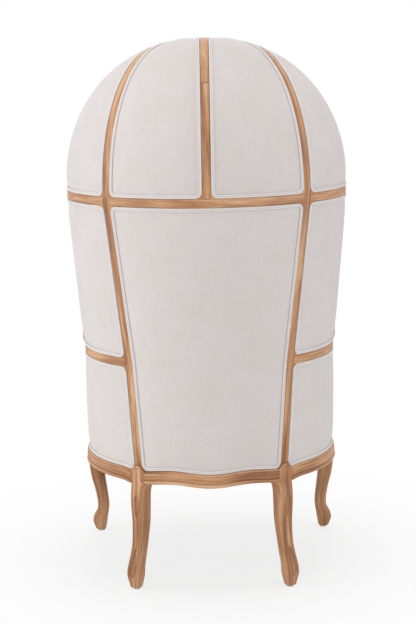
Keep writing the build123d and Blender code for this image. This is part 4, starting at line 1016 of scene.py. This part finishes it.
def roll(distance, radius, drop):
    """How much a pad's face falls away at a distance from its edge."""
    share = 1 - np.clip(distance / radius, 0, 1)
    return drop * (1 - np.sqrt(1 - share ** 2))


def pad_face(edges, crown):
    """Depths of a pad's face from the distances to its edges."""
    near = np.minimum.reduce(edges)
    swell = crown * approach(np.maximum(near - 0.006, 0), 0.05)
    return LINING_FACE - 0.0006 - roll(near, ROLL_RADIUS, ROLL_DROP) + swell


def line_pad(name, node, surface, places, front, both=True):
    """A closed pad from a grid of places, which may be a function of the depth, and the depths of its face.
    Points that meet are joined."""
    rows, columns = front.shape
    total = rows * columns
    face, rear = (surface.at(places(depth) if callable(places) else places, depth)
                  for depth in (front, np.full(front.shape, LINING_BACK)))
    verts = np.concatenate([face.reshape(-1, 3), rear.reshape(-1, 3)])
    faces = grid_faces(rows, columns)
    faces += [tuple(total + i for i in reversed(f)) for f in faces]
    rim = (list(range(columns)) + [r * columns + columns - 1 for r in range(1, rows)] +
           [total - 1 - i for i in range(1, columns)] + [r * columns for r in range(rows - 2, 0, -1)])
    faces += [(a, total + a, total + b, b) for a, b in zip(rim, rim[1:] + rim[:1])]
    for piece in add_pair(name, node, (verts, faces, surface.place(verts)), "inside_linen", both):
        bm = bmesh.new()
        bm.from_mesh(piece.data)
        bmesh.ops.remove_doubles(bm, verts=bm.verts, dist=0.000001)
        bm.to_mesh(piece.data)
        bm.free()


def wall_patch(left, right, low, high, columns, rows):
    """A grid on the wall between two upright edges, with the distances from its four edges."""
    a, b = np.meshgrid(eased(columns), eased(rows))
    z = low * (1 - b) + high * b
    s = left(z) * (1 - a) + right(z) * a
    shrink = (wall_radius(z) - LINING_FACE) / R_BAND
    return np.stack([s, z], -1), [(s - left(z)) * shrink, (right(z) - s) * shrink, z - low, high - z]


def seam_run(z):
    return stile_run(z, SEAM)


back_places, edges = wall_patch(lambda z: -stile_run(z, -SEAM), lambda z: stile_run(z, -SEAM), LOW, HIGH,
                                110, 110)
back_crown = 0.006 * np.clip((back_places[..., 1] - 0.50) / 0.10, 0, 1)
line_pad("inside_back", "lining_back", WALL, back_places, pad_face(edges, back_crown), both=False)
arm_places, edges = wall_patch(seam_run, lambda z: QUARTER + SUPPORT_REAR, LOW, ARM_LOW - SEAM, 110, 60)
line_pad("inside_arm", "lining_side", WALL, arm_places, pad_face(edges, 0.0))
ARM_REAR, ARM_STEP = -0.082, 0.004


def wing_foot(s):
    """The inside wing's lower edge, which steps up over the arm."""
    share = np.clip((s - QUARTER + ARM_REAR + ARM_STEP) / ARM_STEP, 0, 1)
    return SIDE_FOOT + (ARM_TOP + GAP - ARM_LOW) * share


a, b = np.meshgrid(eased(130), eased(80))
z = SIDE_FOOT + (HIGH - SIDE_FOOT) * b
rear_edge, wing_edge = seam_run(z), QUARTER - wing_y(np.maximum(z, ARM_TOP), 0.002)
s = rear_edge * (1 - a) + wing_edge * a
z = z + (wing_foot(s) - SIDE_FOOT) * np.clip(1 - b / 0.35, 0, 1)
edges = [(s - rear_edge) * 0.86, wing_edge - s, z - wing_foot(s), HIGH - z]
line_pad("inside_wing", "lining_side", WALL, np.stack([s, z], -1), pad_face(edges, 0.004))
HOOD_LINING_FRONT = 0.248
POLE = np.array([0.0, 0.16])


def hood_rim(depth):
    """Places round the edge of the left half of the hood's lining, for a depth."""
    skirt, radius = RIM_RUN + SPRING - HIGH, R_BAND - depth
    corner = acos(HOOD_LINING_FRONT / STRETCH / radius)
    back = np.linspace(0, pi - corner, 90)
    up = np.linspace(skirt, RIM_RUN, 12)[1:-1]
    over = np.linspace(pi - corner, pi, 70)
    t = np.arccos(np.minimum(HOOD_LINING_FRONT / STRETCH / -np.cos(over) / radius, 1) ** (FULLNESS / 2))
    turn = np.concatenate([back, np.full(len(up), pi - corner), over])
    q = np.concatenate([np.full(len(back), skirt), up, np.interp(t, DOME_T, DOME_Q)])
    return polar(q, turn)


back_rim, face_rim = hood_rim(LINING_BACK), hood_rim(LINING_FACE)
reach = eased(60, 6, 0.03)[:, None, None]


def hood_grid(depth):
    """The hood lining's places at a depth, between those of its back and its face."""
    share = ((depth - LINING_BACK) / (LINING_FACE - LINING_BACK))[..., None]
    return POLE * (1 - reach) + (back_rim * (1 - share) + face_rim * share) * reach


ray = face_rim - POLE
bearing = unit(np.roll(face_rim, -1, 0) - np.roll(face_rim, 1, 0))
square = np.abs(bearing[:, 0] * unit(ray)[:, 1] - bearing[:, 1] * unit(ray)[:, 0])
square[0] = square[-1] = 1.0
rim_gap = np.linalg.norm(ray, axis=-1) * (1 - reach[..., 0]) * np.maximum(square, 0.3)
seam_gap = np.maximum(POLE[0] * (1 - reach[..., 0]) + face_rim[:, 0] * reach[..., 0], 0)
face = pad_face([rim_gap], 0.004) - roll(seam_gap, 0.010, 0.007)
line_pad("inside_hood", "lining_hood", HOOD, hood_grid, np.maximum(face, LINING_BACK + 0.001))


# Seat: deck, webbing and dust cover
def seat_field(radius, front, corner, height):
    """A plan like the seat's on a level plane: half a circle behind, straight sides and a bowed front."""
    ring = polar(radius, np.linspace(-pi / 2, pi / 2, 200))
    side = np.column_stack([np.full(60, radius), np.linspace(0, -front, 60)])
    rear = np.concatenate([side[::-1] * [-1, 1], ring[1:-1], side])
    bow = (radius ** 2 + FRONT_BOW ** 2) / (2 * FRONT_BOW)
    x = np.linspace(radius, -radius, 200)
    ahead = np.column_stack([x, -front - FRONT_BOW + bow - np.sqrt(bow ** 2 - x ** 2)])
    edges = [lifted(e, height) + [0, AXIS_Y, 0] for e in (rear, ahead)]
    return Field(level_surface(height), edges, [corner, corner])


deck = panel_mesh(seat_field(0.3204, 0.2913, 0.012, DECK_TOP), [0.0, 0.0012, 0.003, 0.006, 0.0095],
                  lambda known, coords: roll(known, 0.009, 0.008), DECK_TOP - DECK_FOOT, 0.012)
add_piece("seat_deck_cover", "seat_deck", deck, "inside_linen")
DUST_HALF, DUST_FRONT, DUST_FOOT = 0.3114, 0.2527, 0.3113
field = seat_field(DUST_HALF, DUST_FRONT, 0.010, DUST_FOOT)
dust = panel_mesh(field, [0.0, 0.003, 0.009],
                  lambda known, coords: 0.0006 + 0.0007 * approach(known, 0.05), 0.0013, 0.016)
dust = add_piece("dust_cloth", "dust_cover", dust, "cambric")
WEB_RADIUS, WEB_HALF, WEB_PITCH, WEB_COUNT = 0.3195, 0.025, 0.104, 60
WEB_FRONT, LONG_WEB_TOP, CROSS_WEB_TOP = 0.292, 0.3396, 0.3419


def strap(name, start, end, across, z):
    """A web strap from rail to rail, with thin selvedges."""
    start, end = np.array(start), np.array(end)
    line = start + (end - start) * np.linspace(0, 1, WEB_COUNT)[:, None]
    rows = [lifted(line + u * WEB_HALF * np.array(across), z + up)
            for u, up in ((-1, -0.0009), (-0.97, -0.0011), (0.97, -0.0011), (1, -0.0009),
                          (1, -0.0001), (0.97, 0.0001), (-0.97, 0.0001), (-1, -0.0001))]
    shape = np.concatenate(rows) + [0, AXIS_Y, 0], bar_faces(len(rows), WEB_COUNT), None
    piece = add_piece(name, "seat_webbing", shape, "jute")


for i in range(5):
    x = (i - 2) * WEB_PITCH
    strap("web_long_%d" % (i + 1), [x, sqrt(WEB_RADIUS ** 2 - (abs(x) + WEB_HALF) ** 2)],
          [x, -WEB_FRONT - 0.6 * FRONT_BOW * (1 - (x / 0.3) ** 2)], (1, 0), LONG_WEB_TOP)
for i in range(4):
    y = (i - 1.5) * WEB_PITCH
    half = sqrt(WEB_RADIUS ** 2 - max(y + WEB_HALF, 0) ** 2)
    strap("web_cross_%d" % (i + 1), [-half, y], [half, y], (0, 1), CROSS_WEB_TOP)


# Arm pads
for hand in ("left", "right"):
    low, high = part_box("arm_pad_" + hand)
    turns = np.array([(low.x, low.y), (high.x, low.y), (high.x, high.y), (low.x, high.y), (low.x, low.y)])
    edges = [lifted(np.linspace(start, end, 40), high.z) for start, end in zip(turns, turns[1:])]
    field = Field(level_surface(high.z), edges, [0.014] * 4)
    pad = panel_mesh(field, [0.0, 0.0008, 0.002, 0.004, 0.007, 0.010],
                     lambda known, coords: roll(known, 0.019, 0.0195) + 0.0002, 0.0258, 0.004)
    add_piece("arm_pad_cover_" + hand, "arm_pad_" + hand, pad, "inside_linen")


CLOTH_STEPS = 20


def settle(piece, held, allowed, lowest):
    """Lets a filled cover swell as cloth from its held points, then keeps each point near where it began."""
    cloth_piece = piece.copy()
    cloth_piece.data = piece.data.copy()
    scene.collection.objects.link(cloth_piece)
    group = cloth_piece.vertex_groups.new(name="held")
    group.add([int(i) for i in np.flatnonzero(held)], 1.0, "REPLACE")
    cloth = cloth_piece.modifiers.new("cloth", "CLOTH")
    for key, value in {"quality": 5, "mass": 0.25, "tension_stiffness": 12, "compression_stiffness": 12,
                       "bending_stiffness": 0.3, "use_pressure": True, "uniform_pressure_force": 4.0,
                       "shrink_min": -0.025, "vertex_group_mass": "held"}.items():
        setattr(cloth.settings, key, value)
    cloth.settings.effector_weights.gravity = 0.0
    cloth.point_cache.frame_start, cloth.point_cache.frame_end = 1, CLOTH_STEPS
    for number in range(1, CLOTH_STEPS + 1):
        scene.frame_set(number)
    graph = bpy.context.evaluated_depsgraph_get()
    shape = cloth_piece.evaluated_get(graph).to_mesh()
    before, after = (np.zeros(len(shape.vertices) * 3, np.float32) for _ in range(2))
    piece.data.vertices.foreach_get("co", before)
    shape.vertices.foreach_get("co", after)
    moved = (after - before).reshape(-1, 3)
    length = np.maximum(np.linalg.norm(moved, axis=1, keepdims=True), 1e-9)
    points = before.reshape(-1, 3) + moved * (allowed * np.tanh(length / allowed) / length)
    points[:, 2] = np.maximum(points[:, 2], lowest)
    piece.data.vertices.foreach_set("co", points.ravel())
    piece.data.update()
    cloth_piece.evaluated_get(graph).to_mesh_clear()
    scene.frame_set(1)
    bpy.data.objects.remove(cloth_piece)


# Loose seat cushion, with piping along both seams
CUSHION_LOW, SEAM_LOW, SEAM_HIGH, CROWN_TOP = 0.3629, 0.3719, 0.4749, 0.4969
PIPING, SEAM_INSET, DRAW_IN = 0.0035, 0.0073, 0.004
PUCKER_LONG, PUCKER_SHORT, COVER_TRAVEL = 0.031, 0.0193, 0.0045
CUSHION_PLAN = np.array([0.2947, 0.2903, 0.038])
cover = seat_field(*(CUSHION_PLAN - SEAM_INSET), SEAM_HIGH)
pucker = (0.5 * np.sin(cover.runs * 2 * pi / PUCKER_LONG + 1.3 * np.sin(cover.runs * 9)) +
          0.35 * np.sin(cover.runs * 2 * pi / PUCKER_SHORT + 2.1 * np.sin(cover.runs * 5)))


def bearing_of(points):
    return np.arctan2(points[:, 0], points[:, 1] - AXIS_Y)


around = bearing_of(cover.loop)
order = np.argsort(around)


def crowned(known, coords):
    """Height of the cushion's top over its seam, as a depth: a full crown, with small puckers by the seam."""
    wrinkle = np.interp(bearing_of(coords), around[order], pucker[order], period=2 * pi)
    rise = (CROWN_TOP - SEAM_HIGH) * approach(known, 0.055)
    return -rise - 0.0010 * wrinkle * ridge(known - 0.020, 0.016)


def seated(known, coords):
    """Depth of the cushion's underside, which is flat where it rests."""
    return SEAM_HIGH - SEAM_LOW + (SEAM_LOW - CUSHION_LOW) * approach(known, 0.006)


sides = []
for share in np.linspace(0, 1, 15)[1:-1]:
    near = exp(-min(share, 1 - share) / 0.16)
    out = DRAW_IN * sin(share * pi) + 0.0008 * near * pucker[:, None]
    place = cover.surface.place(cover.loop + cover.inward * out)
    sides.append(lifted(place, SEAM_HIGH - share * (SEAM_HIGH - SEAM_LOW)))
shape = panel_mesh(cover, [0.0, 0.003, 0.007, 0.012, 0.018, 0.025], crowned, seated, 0.009, sides)
cushion = add_piece("cushion", "seat_cushion", shape, "cushion_linen", body="cushion")
z = shape[0][:, 2]
at_seam = np.minimum(np.abs(z - SEAM_HIGH), np.abs(z - SEAM_LOW)) < 0.0002
settle(cushion, at_seam | (z < SEAM_LOW), COVER_TRAVEL, CUSHION_LOW)
circle = [(PIPING - PIPING * cos(a), PIPING * sin(a)) for a in np.linspace(0, 2 * pi, 13)[:-1]]
for name, height in (("piping_lower", SEAM_LOW), ("piping_upper", SEAM_HIGH)):
    piping = cord_mesh(seat_field(*CUSHION_PLAN, height), circle)
    add_piece(name, "cushion_piping", piping, "double_cord", body="cushion")


# Camera, floor and light
CAMERA_PLACE = (0.0019, 4.634, 1.4857)
CAMERA_PITCH, CAMERA_ROLL = radians(9.3365), radians(1.0)
lens = bpy.data.cameras.new("camera")
lens.lens, lens.sensor_width, lens.clip_end = 95.52, 36.0, 60.0
camera = place_object("camera", lens)
forward = Vector((0, -cos(CAMERA_PITCH), -sin(CAMERA_PITCH)))
level_up = Vector((0, -sin(CAMERA_PITCH), cos(CAMERA_PITCH)))
up = level_up * cos(CAMERA_ROLL) + Vector((-1, 0, 0)) * sin(CAMERA_ROLL)
turned = Matrix((forward.cross(up), up, -forward)).transposed()
camera.matrix_world = Matrix.Translation(CAMERA_PLACE) @ turned.to_4x4()
scene.camera = camera

WORLD_LIGHT = 0.55
world = bpy.data.worlds.new("studio")
scene.world = world
sky = Shader(world, "Background")
level = sky.add("MapRange", {"Value": sky.seen(), "To Min": WORLD_LIGHT, "To Max": 1.0}).outputs[0]
sky.fill(sky.surface, {"Color": (1, 1, 1, 1), "Strength": level})

ground = new_material("floor")
far_off = ground.add("VectorMath", {0: ground.place("Object")}, operation="LENGTH").outputs["Value"]
clear = ground.add("MapRange", {
    "Value": far_off, "From Min": 0.30, "From Max": 1.15, "To Min": 0.72, "To Max": 1.0}).outputs[0]
pale = ground.ramp(ground.noise(ground.place("Object"), 3.0), [(0.3, grey(0.88)), (0.7, grey(0.90))])
ground.fill(ground.surface, {"Base Color": pale, "Roughness": 0.9})
glow = ground.add("Emission", {"Color": (1, 1, 1, 1), "Strength": 1.0})
both = ground.add("MixShader", {
    0: ground.math("MULTIPLY", clear, ground.seen()), 1: ground.surface.outputs[0], 2: glow.outputs[0]})
ground.fill(ground.nodes["Material Output"], {"Surface": both.outputs[0]})
FLOOR = 14.0
floor_mesh = bpy.data.meshes.new("floor")
floor_mesh.from_pydata([(-FLOOR, -FLOOR, 0), (FLOOR, -FLOOR, 0), (FLOOR, FLOOR, 0), (-FLOOR, FLOOR, 0)], [],
                       [(0, 1, 2, 3)])
floor_mesh.materials.append(materials["floor"])
place_object("floor", floor_mesh)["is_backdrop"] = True


def lamp(name, place, size, power, colour=(1, 1, 1), target=(0, 0, 0.8)):
    data = bpy.data.lights.new(name, "AREA")
    data.shape, data.size, data.energy, data.color = "SQUARE", size, power, colour
    placed = place_object(name, data)
    placed.location, placed.rotation_mode = place, "QUATERNION"
    placed.rotation_quaternion = (Vector(target) - Vector(place)).to_track_quat("-Z", "Y")


COOL = (0.94, 0.99, 1.0)
lamp("side_left", (3.0, 0.7, 1.5), 2.4, 31, COOL)
lamp("side_right", (-3.0, 0.7, 1.5), 2.4, 17, COOL)
lamp("rear", (0.6, 3.6, 2.6), 2.2, 26)
lamp("front", (0, -3.6, 2.4), 2.4, 36)
lamp("top", (0, 0.3, 3.9), 2.0, 19)

scene.view_settings.view_transform = "Standard"
low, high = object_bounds()
